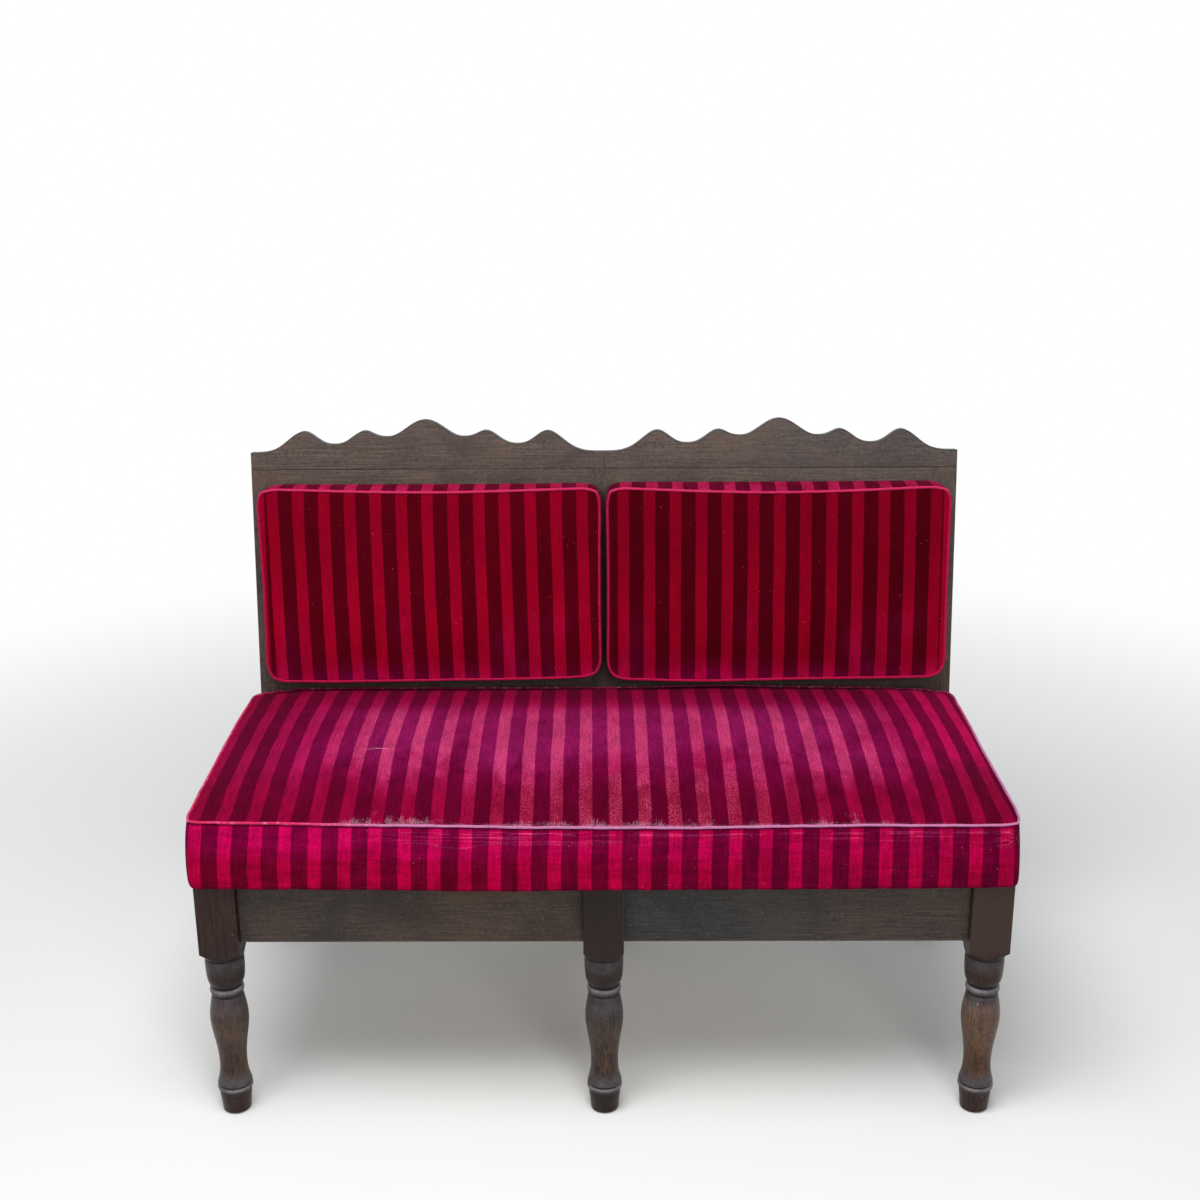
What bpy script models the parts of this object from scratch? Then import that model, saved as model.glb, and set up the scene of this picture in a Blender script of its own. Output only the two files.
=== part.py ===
"""Upholstered bench: turned front legs, a raked back with a scalloped crest, boxed seat and back pads."""

import math

import bmesh
import bpy
from mathutils import Vector

# Seat frame, in metres
BENCH_WIDTH = 1.140  # over the end leg blocks, and over the end posts
SEAT_FRAME_HEIGHT = 0.3765  # floor to the top of the leg blocks and aprons
SEAT_FRAME_DEPTH = 0.5016  # front of the leg blocks to the front of the rear posts
LEG_BLOCK = 0.057
APRON_HEIGHT = 0.095
APRON_THICKNESS = 0.022
APRON_RECESS = 0.0147  # aprons lie this far behind the faces of the leg blocks
REAR_APRON_SETBACK = 0.003  # from the front faces of the posts
CROSS_RAIL_HEIGHT = 0.060
CROSS_RAIL_THICKNESS = 0.024

# Joints
GAP = 0.0003  # between pieces that touch
TENON_THICKNESS = 0.010
TENON_SHOULDER = 0.018  # step above and below a tenon
BACK_TENON_SHOULDER = 0.024
LEG_TENON_LENGTH = 0.020
POST_TENON_LENGTH = 0.016
TENON_END_ROOM = 0.001  # mortises are this much deeper than their tenons

# Turned legs: radii and heights of the turning
LEG_SIDES = 20
FOOT_RADIUS = 0.0180
FOOT_TOP_RADIUS = 0.0202
FOOT_EASE = 0.0020
ANKLE_BEAD_BOTTOM = 0.0342
ANKLE_BEAD_TOP = 0.0446
ANKLE_BEAD_RADIUS = 0.0254
ANKLE_GROOVE_RADIUS = 0.0225
ANKLE_GROOVE_WIDTH = 0.0010
VASE_BASE_RADIUS = 0.0248
VASE_FLARE_POWER = 2.5
VASE_WAIST_HEIGHT = 0.0810
VASE_WAIST_RADIUS = 0.0197
VASE_BELLY_HEIGHT = 0.1560
VASE_BELLY_RADIUS = 0.0275
VASE_NECK_HEIGHT = 0.1950
VASE_NECK_RADIUS = 0.0222
NECK_BEAD_TOP = 0.2068
NECK_BEAD_RADIUS = 0.0238
NECK_RADIUS = 0.0216
CUP_BOTTOM = 0.2120
CUP_BOTTOM_RADIUS = 0.0242
CUP_LIP_RADIUS = 0.0280
CUP_FLARE_POWER = 0.8
SHOULDER_BOTTOM = 0.2569  # lowest point of the rounded shoulder, in the middle of each face of the block
SHOULDER_HEIGHT = 0.0124  # from there up to the block's corners
SHOULDER_STEPS = 4
SHOULDER_OVERRUN = 1.04  # the turning's widest ring, times the block's corner radius

# Rear posts
END_POST_WIDTH = 0.042
CENTRE_POST_WIDTH = 0.044
POST_DEPTH = 0.042
POST_FOOT_DEPTH = 0.034
POST_KICK = 0.016  # the foot lies this far behind the straight stretch
KICK_DROP = 0.012  # the kick starts this far below the aprons
BEND_RISE = 0.0435  # the rake starts this far above the seat frame
RAKE = math.radians(8.0)
STILE_TOP_DEPTH = 0.025

# Back rails and crest board, measured up the rake from the bend
BACK_RAIL_THICKNESS = 0.022
TOP_RAIL_HEIGHT = 0.076
BOTTOM_RAIL_START = 0.030
BOTTOM_RAIL_HEIGHT = 0.095
CREST_THICKNESS = 0.024
CREST_EASE = 0.0016
CREST_MAIN_PEAK = 0.0812
CREST_INNER_VALLEY = 0.0542
CREST_SIDE_PEAK = 0.0638
CREST_OUTER_VALLEY = 0.0423
CREST_OUTER_PEAK = 0.0630
CREST_END = 0.0292
# Each bay of the crest is symmetric. Its outline turns at these shares of half a bay, counted from its middle.
# The last value is the power that makes a stretch rounder at the valley and sharper at the peak.
CREST_TURNS = (
    (0.0, CREST_MAIN_PEAK, 1.0),
    (0.211, CREST_INNER_VALLEY, 0.95),
    (0.342, CREST_SIDE_PEAK, 1.5),
    (0.521, CREST_OUTER_VALLEY, 1.25),
    (0.690, CREST_OUTER_PEAK, 1.25),
    (1.0, CREST_END, 1.75),
)
CREST_STRETCH_POINTS = 5
DOWEL_RADIUS = 0.005
DOWEL_SIDES = 12
DOWEL_IN_CREST = 0.018
DOWEL_IN_POST = 0.018

# Upholstery
COVER_THICKNESS = 0.0015
PIPING_RADIUS = 0.0024
EDGE_EASE = 0.004
COVER_RETURN = 0.016  # width of the cover that is turned in behind its board

SEAT_END_ROOM = 0.002  # from the seam to the ends of the seat frame
SEAT_FRONT_OVERHANG = 0.012
SEAT_REAR_ROOM = 0.0065  # from the seam to the front of the posts
SEAT_SEAM_HEIGHT = 0.0975
SEAT_FRONT_CORNER_RADIUS = 0.014
SEAT_REAR_CORNER_RADIUS = 0.024
SEAT_BASE_OUTSET = 0.001
SEAT_BULGE = 0.004
SEAT_CROWN = 0.024
SEAT_BOARD_THICKNESS = 0.012

PAD_HEIGHT = 0.3115
PAD_END_ROOM = 0.0269  # from the seam to the ends of the back
PAD_TOP_ROOM = 0.0283  # from the seam up to the crest board
PAD_BOTTOM_ROOM = 0.0446  # from the lower edge of the bottom rail up to the seam
PAD_SPACING = 0.013  # between the seams of the two pads
PAD_SEAM_HEIGHT = 0.049
PAD_TOP_CORNER_RADIUS = 0.019
PAD_BOTTOM_CORNER_RADIUS = 0.031
PAD_BASE_OUTSET = 0.001
PAD_BULGE = 0.003
PAD_CROWN = 0.009
PAD_BOARD_THICKNESS = 0.009

CROWN_POWER = 3.0
CROWN_REACH = 0.74  # share of the way to the middle beyond which the crown is level
CROWN_RINGS = (0.12, 0.35, 0.65, 1.0)  # shares of that way that have a ring
CORNER_GROWTH = 0.5  # a ring's corner radius grows by this share of the distance that it is drawn in
ROUNDEST_CORNER = 0.9  # largest corner radius, as a share of the ring's shorter half
CORNER_STEPS = 4
SIDE_STEPS = (4, 3)  # long and short sides
BOXING_STEPS = 3

# Corner blocks and screws
CORNER_BLOCK_HEIGHT = 0.026
CORNER_BLOCK_REACH = 0.050  # from the corner of the leg or post, along each apron
SCREW_SIDES = 8
SCREW_RADIUS = 0.0022
SCREW_HEAD_RADIUS = 0.0048
SCREW_HEAD_HEIGHT = 0.0028
SCREW_HEAD_TOP_SHARE = 0.6  # flat top of the head, as a share of its radius
SCREW_POINT = 0.004
SCREW_POINT_RADIUS = 0.0007
SCREW_HOLE_ROOM = 0.0006
SCREW_IN_LEG = 0.016
SCREW_IN_BOARD_SHARE = 0.75
SEAT_SCREW_REACH = 0.032  # from the end of the leg or post, along the side apron
SEAT_SCREW_INSET = 0.013  # from the inner face of the side apron
PAD_SCREW_END_ROOM = 0.0783  # from the ends of the pad

# Places that follow from the sizes
HALF_WIDTH = BENCH_WIDTH / 2
APRON_BOTTOM = SEAT_FRAME_HEIGHT - APRON_HEIGHT
REAR_APRON_FRONT = SEAT_FRAME_DEPTH + REAR_APRON_SETBACK
SIDE_TENON_OUTSIDE = APRON_RECESS + (APRON_THICKNESS + TENON_THICKNESS) / 2
# The rear aprons' tenons stop short of the side aprons' tenons, which enter the same posts.
REAR_TENON_LENGTH = END_POST_WIDTH - SIDE_TENON_OUTSIDE - 2 * TENON_END_ROOM
KICK_HEIGHT = APRON_BOTTOM - KICK_DROP
BEND_HEIGHT = SEAT_FRAME_HEIGHT + BEND_RISE
BOTTOM_RAIL_TOP = BOTTOM_RAIL_START + BOTTOM_RAIL_HEIGHT
PAD_BOTTOM = BOTTOM_RAIL_START + PAD_BOTTOM_ROOM
PAD_TOP = PAD_BOTTOM + PAD_HEIGHT
PAD_WIDTH = (BENCH_WIDTH - PAD_SPACING) / 2 - PAD_END_ROOM
STILE_LENGTH = PAD_TOP + PAD_TOP_ROOM  # from the bend to the crest board
TOP_RAIL_START = STILE_LENGTH - TOP_RAIL_HEIGHT
CREST_BASE = STILE_LENGTH + GAP
SEAT_BASE = SEAT_FRAME_HEIGHT + GAP
SEAT_WIDTH = BENCH_WIDTH - 2 * SEAT_END_ROOM
SEAT_DEPTH = SEAT_FRONT_OVERHANG + SEAT_FRAME_DEPTH - SEAT_REAR_ROOM
SEAT_MIDDLE = (SEAT_FRAME_DEPTH - SEAT_REAR_ROOM - SEAT_FRONT_OVERHANG) / 2
FRONT_REACH = -SEAT_FRONT_OVERHANG - SEAT_BASE_OUTSET / 2 - SEAT_BULGE
REAR_REACH = (
    SEAT_FRAME_DEPTH
    + CREST_THICKNESS * math.cos(RAKE)
    + (CREST_BASE + CREST_MAIN_PEAK - CREST_EASE) * math.sin(RAKE)
)
FRAME_SHIFT = -(FRONT_REACH + REAR_REACH) / 2  # stands the bench over its origin
SIDES = {"left": -1, "right": 1}


def clear_scene():
    for item in list(bpy.data.objects):
        bpy.data.objects.remove(item, do_unlink=True)


def make_material(name, colour, roughness, metallic=0.0):
    made = bpy.data.materials.new(name)
    made.use_nodes = True
    shader = made.node_tree.nodes["Principled BSDF"]
    shader.inputs["Base Color"].default_value = (*colour, 1.0)
    shader.inputs["Roughness"].default_value = roughness
    shader.inputs["Metallic"].default_value = metallic
    return made


def make_empty(name, location, rotation=(0.0, 0.0, 0.0), parent=None):
    empty = bpy.data.objects.new(name, None)
    bpy.context.collection.objects.link(empty)
    empty.location = location
    empty.rotation_euler = rotation
    empty.parent = parent
    return empty


def add_object(name, bm, parent, finish=None):
    """Turns a bmesh into a named object with its faces pointing out."""
    bmesh.ops.recalc_face_normals(bm, faces=bm.faces)
    mesh = bpy.data.meshes.new(name)
    bm.to_mesh(mesh)
    bm.free()
    made = bpy.data.objects.new(name, mesh)
    bpy.context.collection.objects.link(made)
    made.parent = parent
    if finish:
        mesh.materials.append(finish)
    return made


def smooth(piece, angle=0.6):
    piece.data.shade_smooth()
    piece.data.set_sharp_from_angle(angle=angle)


def extrude_face(bm, face, keep_face=False):
    """Extrudes one face where it lies and gives the new face, ready to be moved."""
    grown = bmesh.ops.extrude_face_region(bm, geom=[face])["geom"]
    if not keep_face:
        bmesh.ops.delete(bm, geom=[face], context="FACES_ONLY")
    return next(part for part in grown if isinstance(part, bmesh.types.BMFace))


def extruded_rings(rings):
    """One closed body through rings of points: each ring is extruded from the one before it."""
    bm = bmesh.new()
    face = bm.faces.new([bm.verts.new(point) for point in rings[0]])
    for index, ring in enumerate(rings[1:]):
        face = extrude_face(bm, face, keep_face=index == 0)
        for corner, point in zip(face.verts, ring):
            corner.co = point
    return bm


def box_mesh(low, high):
    bm = bmesh.new()
    bmesh.ops.create_cube(bm, size=1.0)
    for corner in bm.verts:
        corner.co = [a if side < 0 else b for side, a, b in zip(corner.co, low, high)]
    return bm


def cut(piece, cutter, operation="DIFFERENCE"):
    """Cuts with a helper object that stays out of the render."""
    cutter.hide_render = True
    cutter.display_type = "WIRE"
    boolean = piece.modifiers.new(cutter.name, "BOOLEAN")
    boolean.operation = operation
    boolean.object = cutter


def mortise(piece, name, low, high, axis, parent):
    """Room for a tenon that fills low to high: wider by the gap, and deeper and open along the axis."""
    low = [value - GAP for value in low]
    high = [value + GAP for value in high]
    low[axis] -= TENON_END_ROOM
    high[axis] += TENON_END_ROOM
    cut(piece, add_object(name, box_mesh(low, high), parent))


def ring_points(radius, height, sides):
    turn = 2 * math.pi / sides
    return [(radius * math.cos(turn * i), radius * math.sin(turn * i), height) for i in range(sides)]


def rail(name, low, high, axis, tenon_length, shoulder, parent, finish):
    """A straight rail from low to high along an axis, with a tenon extruded from each end."""
    bm = box_mesh(low, high)
    middle = [(a + b) / 2 for a, b in zip(low, high)]
    thickness_axis = 1 if axis == 0 else 0
    half_thickness = TENON_THICKNESS / 2
    for side in (-1, 1):
        end = max(bm.faces, key=lambda face: side * face.calc_center_median()[axis])
        for reach in (0.0, tenon_length):
            end = extrude_face(bm, end)
            for corner in end.verts:
                across = math.copysign(half_thickness, corner.co[thickness_axis] - middle[thickness_axis])
                corner.co[thickness_axis] = middle[thickness_axis] + across
                if reach == 0.0:
                    corner.co[2] += math.copysign(shoulder, middle[2] - corner.co[2])
                corner.co[axis] += side * reach
    return add_object(name, bm, parent, finish)


def tenon_box(low, high, axis, side, tenon_length, shoulder):
    """The space that one tenon of such a rail fills."""
    middle = [(a + b) / 2 for a, b in zip(low, high)]
    thickness_axis = 1 if axis == 0 else 0
    start, end = list(low), list(high)
    start[thickness_axis] = middle[thickness_axis] - TENON_THICKNESS / 2
    end[thickness_axis] = middle[thickness_axis] + TENON_THICKNESS / 2
    start[2] += shoulder
    end[2] -= shoulder
    if side > 0:
        start[axis], end[axis] = high[axis], high[axis] + tenon_length
    else:
        start[axis], end[axis] = low[axis] - tenon_length, low[axis]
    return start, end


def joined_rail(name, low, high, axis, ends, tenon_length, parent, finish, shoulder=TENON_SHOULDER):
    """A rail and the mortises for it in the two pieces that it joins."""
    low, high = list(low), list(high)
    low[axis] += GAP
    high[axis] -= GAP
    made = rail(name, low, high, axis, tenon_length, shoulder, parent, finish)
    for side, holder in zip((-1, 1), ends):
        start, end = tenon_box(low, high, axis, side, tenon_length, shoulder)
        mortise(holder, f"{name}_mortise_{'low' if side < 0 else 'high'}", start, end, axis, parent)
    return made


def turned_stretch(start, end, steps, power=1.0):
    """Heights and radii between two turning points, level at both, rounder at the start for a power over 1."""
    points = []
    for step in range(1, steps + 1):
        share = step / steps
        rise = (1 - math.cos(math.pi * share**power)) / 2
        points.append((start[0] + (end[0] - start[0]) * share, start[1] + (end[1] - start[1]) * rise))
    return points


def flared_stretch(start, end, steps, power):
    """Heights and radii that leave the start slowly and flare towards the end."""
    points = []
    for step in range(1, steps + 1):
        share = step / steps
        flare = share**power
        points.append((start[0] + (end[0] - start[0]) * share, start[1] + (end[1] - start[1]) * flare))
    return points


def turned_bead(bottom, top, core_radius, radius, steps):
    middle, half = (bottom + top) / 2, (top - bottom) / 2
    points = []
    for step in range(steps + 1):
        turn = math.pi * step / steps
        points.append((middle - half * math.cos(turn), core_radius + (radius - core_radius) * math.sin(turn)))
    return points


def leg_outline():
    """Heights and radii of the turning from the floor up, ending outside the square block."""
    vase_base = (ANKLE_BEAD_TOP + ANKLE_GROOVE_WIDTH, VASE_BASE_RADIUS)
    waist = (VASE_WAIST_HEIGHT, VASE_WAIST_RADIUS)
    belly = (VASE_BELLY_HEIGHT, VASE_BELLY_RADIUS)
    neck = (VASE_NECK_HEIGHT, VASE_NECK_RADIUS)
    cup = (CUP_BOTTOM, CUP_BOTTOM_RADIUS)
    lip = (SHOULDER_BOTTOM, CUP_LIP_RADIUS)
    outline = [(0.0, FOOT_RADIUS - FOOT_EASE), (FOOT_EASE, FOOT_RADIUS)]
    outline.append((ANKLE_BEAD_BOTTOM, FOOT_TOP_RADIUS))
    outline += turned_bead(ANKLE_BEAD_BOTTOM, ANKLE_BEAD_TOP, ANKLE_GROOVE_RADIUS, ANKLE_BEAD_RADIUS, 4)
    outline += reversed(flared_stretch(waist, vase_base, 3, VASE_FLARE_POWER))
    outline.append(waist)
    outline += turned_stretch(waist, belly, 5)
    outline += turned_stretch(belly, neck, 3)
    outline += turned_bead(VASE_NECK_HEIGHT, NECK_BEAD_TOP, VASE_NECK_RADIUS, NECK_BEAD_RADIUS, 3)[1:-1]
    outline.append((NECK_BEAD_TOP, NECK_RADIUS))
    outline.append(((NECK_BEAD_TOP + CUP_BOTTOM) / 2, NECK_RADIUS))
    outline.append(cup)
    outline += flared_stretch(cup, lip, 3, CUP_FLARE_POWER)
    corner_radius = SHOULDER_OVERRUN * LEG_BLOCK / math.sqrt(2)
    for step in range(1, SHOULDER_STEPS + 1):
        turn = math.pi / 2 * step / SHOULDER_STEPS
        radius = CUP_LIP_RADIUS + (corner_radius - CUP_LIP_RADIUS) * math.sin(turn)
        outline.append((SHOULDER_BOTTOM + SHOULDER_HEIGHT * (1 - math.cos(turn)), radius))
    outline.append((SEAT_FRAME_HEIGHT + SHOULDER_HEIGHT, corner_radius))
    return outline


def front_leg(name, x, frame, finish):
    """Turned below and square above: the turning runs out into the block's rounded shoulders."""
    rings = [ring_points(radius, height, LEG_SIDES) for height, radius in leg_outline()]
    made = add_object(name, extruded_rings(rings), frame, finish)
    made.location = (x, LEG_BLOCK / 2, 0.0)
    half = LEG_BLOCK / 2
    blank = box_mesh((x - half, 0.0, -half), (x + half, LEG_BLOCK, SEAT_FRAME_HEIGHT))
    cut(made, add_object(f"{name}_blank", blank, frame), "INTERSECT")
    smooth(made)
    return made


def raked(depth, rise):
    """Place across and up the raked back, as distance behind the leg blocks and height over the floor."""
    behind = SEAT_FRAME_DEPTH + depth * math.cos(RAKE) + rise * math.sin(RAKE)
    return behind, BEND_HEIGHT + rise * math.cos(RAKE) - depth * math.sin(RAKE)


def rear_post(name, x, width, frame, finish):
    """Leg and stile in one piece, sawn to shape: a kicked foot, a straight stretch and the rake."""
    rear = SEAT_FRAME_DEPTH + POST_DEPTH
    outline = [
        (SEAT_FRAME_DEPTH + POST_KICK, 0.0),
        (SEAT_FRAME_DEPTH, KICK_HEIGHT),
        (SEAT_FRAME_DEPTH, BEND_HEIGHT),
        raked(0.0, STILE_LENGTH),
        raked(STILE_TOP_DEPTH, STILE_LENGTH),
        (rear, BEND_HEIGHT - POST_DEPTH * math.tan(RAKE / 2)),
        (rear, KICK_HEIGHT),
        (SEAT_FRAME_DEPTH + POST_KICK + POST_FOOT_DEPTH, 0.0),
    ]
    sides = (x - width / 2, x + width / 2)
    bm = extruded_rings([[(side, y, z) for y, z in outline] for side in sides])
    return add_object(name, bm, frame, finish)


def crest_height(x):
    """Height of the crest board over its lower edge, at x from the middle of the bench."""
    half_bay = HALF_WIDTH / 2
    share = min(abs(abs(x) - half_bay) / half_bay, 1.0)
    for (near, near_height, _), (far, far_height, power) in zip(CREST_TURNS, CREST_TURNS[1:]):
        if share <= far:
            along = (share - near) / (far - near)
            break
    low, high = near_height, far_height
    if near_height > far_height:
        low, high, along = far_height, near_height, 1 - along
    return low + (high - low) * (1 - math.cos(math.pi * along**power)) / 2


def crest_places():
    """Where the outline has its points, from left to right: each stretch between two turns is cut alike."""
    shares = [0.0]
    for (near, _, _), (far, _, _) in zip(CREST_TURNS, CREST_TURNS[1:]):
        for step in range(1, CREST_STRETCH_POINTS + 1):
            shares.append(near + (far - near) * step / CREST_STRETCH_POINTS)
    half_bay = HALF_WIDTH / 2
    right_bay = [half_bay * (1 - share) for share in reversed(shares)]
    right_bay += [half_bay * (1 + share) for share in shares[1:]]
    return [-x for x in reversed(right_bay[1:])] + right_bay


def crest_board(back, finish):
    outline = [(x, crest_height(x)) for x in crest_places()]
    outline = [(-HALF_WIDTH, 0.0), *outline, (HALF_WIDTH, 0.0)]
    faces = [[(x, depth, CREST_BASE + z) for x, z in outline] for depth in (0.0, CREST_THICKNESS)]
    bm = extruded_rings(faces)
    rims = [edge for edge in bm.edges if abs(edge.verts[0].co.y - edge.verts[1].co.y) < CREST_EASE]
    bmesh.ops.bevel(bm, geom=rims, offset=CREST_EASE, segments=1, profile=0.5, affect="EDGES")
    return add_object("crest_board", bm, back, finish)


def round_bar(name, radius, low, high, place, parent, finish=None):
    rings = [ring_points(radius, height, DOWEL_SIDES) for height in (low, high)]
    made = add_object(name, extruded_rings(rings), parent, finish)
    made.location = place
    smooth(made)
    return made


def dowel(name, x, back, finish, holders):
    """A dowel that stands in a stile and in the crest board above it."""
    bottom, top = STILE_LENGTH - DOWEL_IN_POST, CREST_BASE + DOWEL_IN_CREST
    place = (x, STILE_TOP_DEPTH / 2, 0.0)
    round_bar(name, DOWEL_RADIUS, bottom, top, place, back, finish)
    hole_radius = DOWEL_RADIUS + 2 * GAP
    hole = round_bar(f"{name}_hole", hole_radius, bottom - TENON_END_ROOM, top + TENON_END_ROOM, place, back)
    for holder in holders:
        cut(holder, hole)


def screw(name, seat, direction, length, parent, finish, holders):
    """A screw whose head sits at seat and whose shank runs along direction, with its hole in the holders."""
    profile = (
        (-length, SCREW_POINT_RADIUS),
        (-length + SCREW_POINT, SCREW_RADIUS),
        (GAP, SCREW_RADIUS),
        (GAP, SCREW_HEAD_RADIUS),
        (GAP + SCREW_HEAD_HEIGHT / 2, SCREW_HEAD_RADIUS),
        (GAP + SCREW_HEAD_HEIGHT, SCREW_HEAD_RADIUS * SCREW_HEAD_TOP_SHARE),
    )
    rings = [ring_points(radius, height, SCREW_SIDES) for height, radius in profile]
    made = add_object(name, extruded_rings(rings), parent, finish)
    hole_radius = SCREW_RADIUS + SCREW_HOLE_ROOM
    hole_ends = (-length - SCREW_HOLE_ROOM, SCREW_HOLE_ROOM)
    hole_rings = [ring_points(hole_radius, height, SCREW_SIDES) for height in hole_ends]
    hole = add_object(f"{name}_hole", extruded_rings(hole_rings), parent)
    for item in (made, hole):
        item.location = seat
        item.rotation_euler = Vector(direction).to_track_quat("-Z", "Y").to_euler()
    smooth(made)
    for holder in holders:
        cut(holder, hole)


def rounded_outline(half_x, half_y, radii, inset):
    """A rounded rectangle drawn in by inset: its corners get rounder as it shrinks."""
    across, along = half_x - inset, half_y - inset
    points = []
    for corner, (sign_x, sign_y) in enumerate(((1, 1), (-1, 1), (-1, -1), (1, -1))):
        growth = CORNER_GROWTH * inset if inset > 0 else -inset
        radius = min(radii[corner] + growth, ROUNDEST_CORNER * min(across, along))
        for step in range(CORNER_STEPS + 1):
            turn = math.pi / 2 * (corner + step / CORNER_STEPS)
            x = sign_x * (across - radius) + radius * math.cos(turn)
            y = sign_y * (along - radius) + radius * math.sin(turn)
            points.append((x, y))
    return with_side_points(points)


def with_side_points(points):
    """Adds points along the straight sides, which run between the corner arcs."""
    filled = []
    for corner in range(4):
        arc = points[corner * (CORNER_STEPS + 1) : (corner + 1) * (CORNER_STEPS + 1)]
        following = points[(corner + 1) * (CORNER_STEPS + 1) % len(points)]
        filled += arc
        steps = SIDE_STEPS[corner % 2]
        for step in range(1, steps):
            share = step / steps
            filled.append(tuple(a + (b - a) * share for a, b in zip(arc[-1], following)))
    return filled


class Cushion:
    """A boxed cushion on a board: its cover, foam and piping all follow one outline and one side profile."""

    def __init__(self, name, width, depth, radii, seam_height, base_outset, bulge, crown, board_thickness):
        self.name = name
        self.half_width = width / 2
        self.half_depth = depth / 2
        self.radii = radii
        self.seam_height = seam_height
        self.base_outset = base_outset
        self.bulge = bulge
        self.crown = crown
        self.board_thickness = board_thickness
        self.chamfer = (PIPING_RADIUS + GAP) * math.sqrt(2)

    def ring(self, outset, height):
        outline = rounded_outline(self.half_width, self.half_depth, self.radii, -outset)
        return [(x, y, height) for x, y in outline]

    def boxing(self):
        """Outset and height up the side, from the eased lower edge to the seam."""
        low, high = EDGE_EASE, self.seam_height - self.chamfer
        stations = []
        for step in range(BOXING_STEPS + 1):
            share = step / BOXING_STEPS
            outset = self.base_outset * (1 - share) + self.bulge * math.sin(math.pi * share)
            stations.append((outset, low + (high - low) * share))
        return stations

    def boxing_above(self, height):
        """The stretch of the boxing over a height, starting on it."""
        stations = self.boxing()
        for (low_outset, low), (high_outset, high) in zip(stations, stations[1:]):
            if low <= height < high:
                start = low_outset + (high_outset - low_outset) * (height - low) / (high - low)
        return [(start, height)] + [station for station in stations if station[1] > height + GAP]

    def top(self):
        """Outset and height from the seam over the crown."""
        reach = CROWN_REACH * min(self.half_width, self.half_depth)
        stations = [(-self.chamfer, self.seam_height)]
        for share in CROWN_RINGS:
            inset = self.chamfer + (reach - self.chamfer) * share
            rise = self.crown * (1 - (1 - share) ** CROWN_POWER)
            stations.append((-inset, self.seam_height + rise))
        return stations

    def skin(self, shrink):
        """Rings up the sides and over the crown, drawn in by shrink."""
        sides = [self.ring(outset - shrink, height) for outset, height in self.boxing()]
        return sides + [self.ring(outset - shrink, height - shrink) for outset, height in self.top()]

    def add_cover(self, parent, finish):
        """A shell that is open behind the board, where its edge is turned in."""
        edge = self.base_outset - EDGE_EASE
        inner = [
            self.ring(-COVER_RETURN, COVER_THICKNESS),
            self.ring(edge - COVER_THICKNESS, COVER_THICKNESS),
            *self.skin(COVER_THICKNESS),
        ]
        outer = [self.ring(-COVER_RETURN, 0.0), self.ring(edge, 0.0), *self.skin(0.0)]
        made = add_object(f"{self.name}_cover", extruded_rings([*reversed(inner), *outer]), parent, finish)
        smooth(made)
        return made

    def board_top(self):
        return COVER_THICKNESS + GAP + self.board_thickness

    def add_board(self, parent, finish):
        outset = self.base_outset - EDGE_EASE - COVER_THICKNESS - 2 * GAP
        rings = [self.ring(outset, height) for height in (COVER_THICKNESS + GAP, self.board_top())]
        return add_object(f"{self.name}_board", extruded_rings(rings), parent, finish)

    def add_foam(self, parent, finish):
        shrink = COVER_THICKNESS + GAP
        sides = self.boxing_above(self.board_top() + GAP)
        rings = [self.ring(outset - shrink, height) for outset, height in sides]
        rings += [self.ring(outset - shrink, height - shrink) for outset, height in self.top()]
        made = add_object(f"{self.name}_foam", extruded_rings(rings), parent, finish)
        smooth(made)
        return made

    def add_piping(self, parent, finish):
        """A round cord that lies in the corner between the boxing and the top."""
        curve = bpy.data.curves.new(f"{self.name}_piping", "CURVE")
        curve.dimensions = "3D"
        curve.bevel_depth = PIPING_RADIUS
        curve.bevel_resolution = 2
        points = self.ring(0.0, self.seam_height)
        spline = curve.splines.new("POLY")
        spline.points.add(len(points) - 1)
        for point, place in zip(spline.points, points):
            point.co = (*place, 1.0)
        spline.use_cyclic_u = True
        curve.materials.append(finish)
        made = bpy.data.objects.new(curve.name, curve)
        bpy.context.collection.objects.link(made)
        made.parent = parent
        return made


def corner_block(name, side, away, corner, aprons, frame, finish):
    """A block in the angle of two aprons, cut round the leg or post whose inner corner is at corner."""
    room_x, room_y = abs(aprons[0] - corner[0]), abs(aprons[1] - corner[1])
    reach = CORNER_BLOCK_REACH
    outline = [
        (GAP - room_x, GAP),
        (GAP, GAP),
        (GAP, GAP - room_y),
        (reach + room_y - GAP, GAP - room_y),
        (GAP - room_x, reach + room_x - GAP),
    ]
    levels = (SEAT_FRAME_HEIGHT - CORNER_BLOCK_HEIGHT, SEAT_FRAME_HEIGHT)
    rings = []
    for level in levels:
        rings.append([(side * (corner[0] - u), corner[1] + away * v, level) for u, v in outline])
    return add_object(name, extruded_rings(rings), frame, finish)


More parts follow.
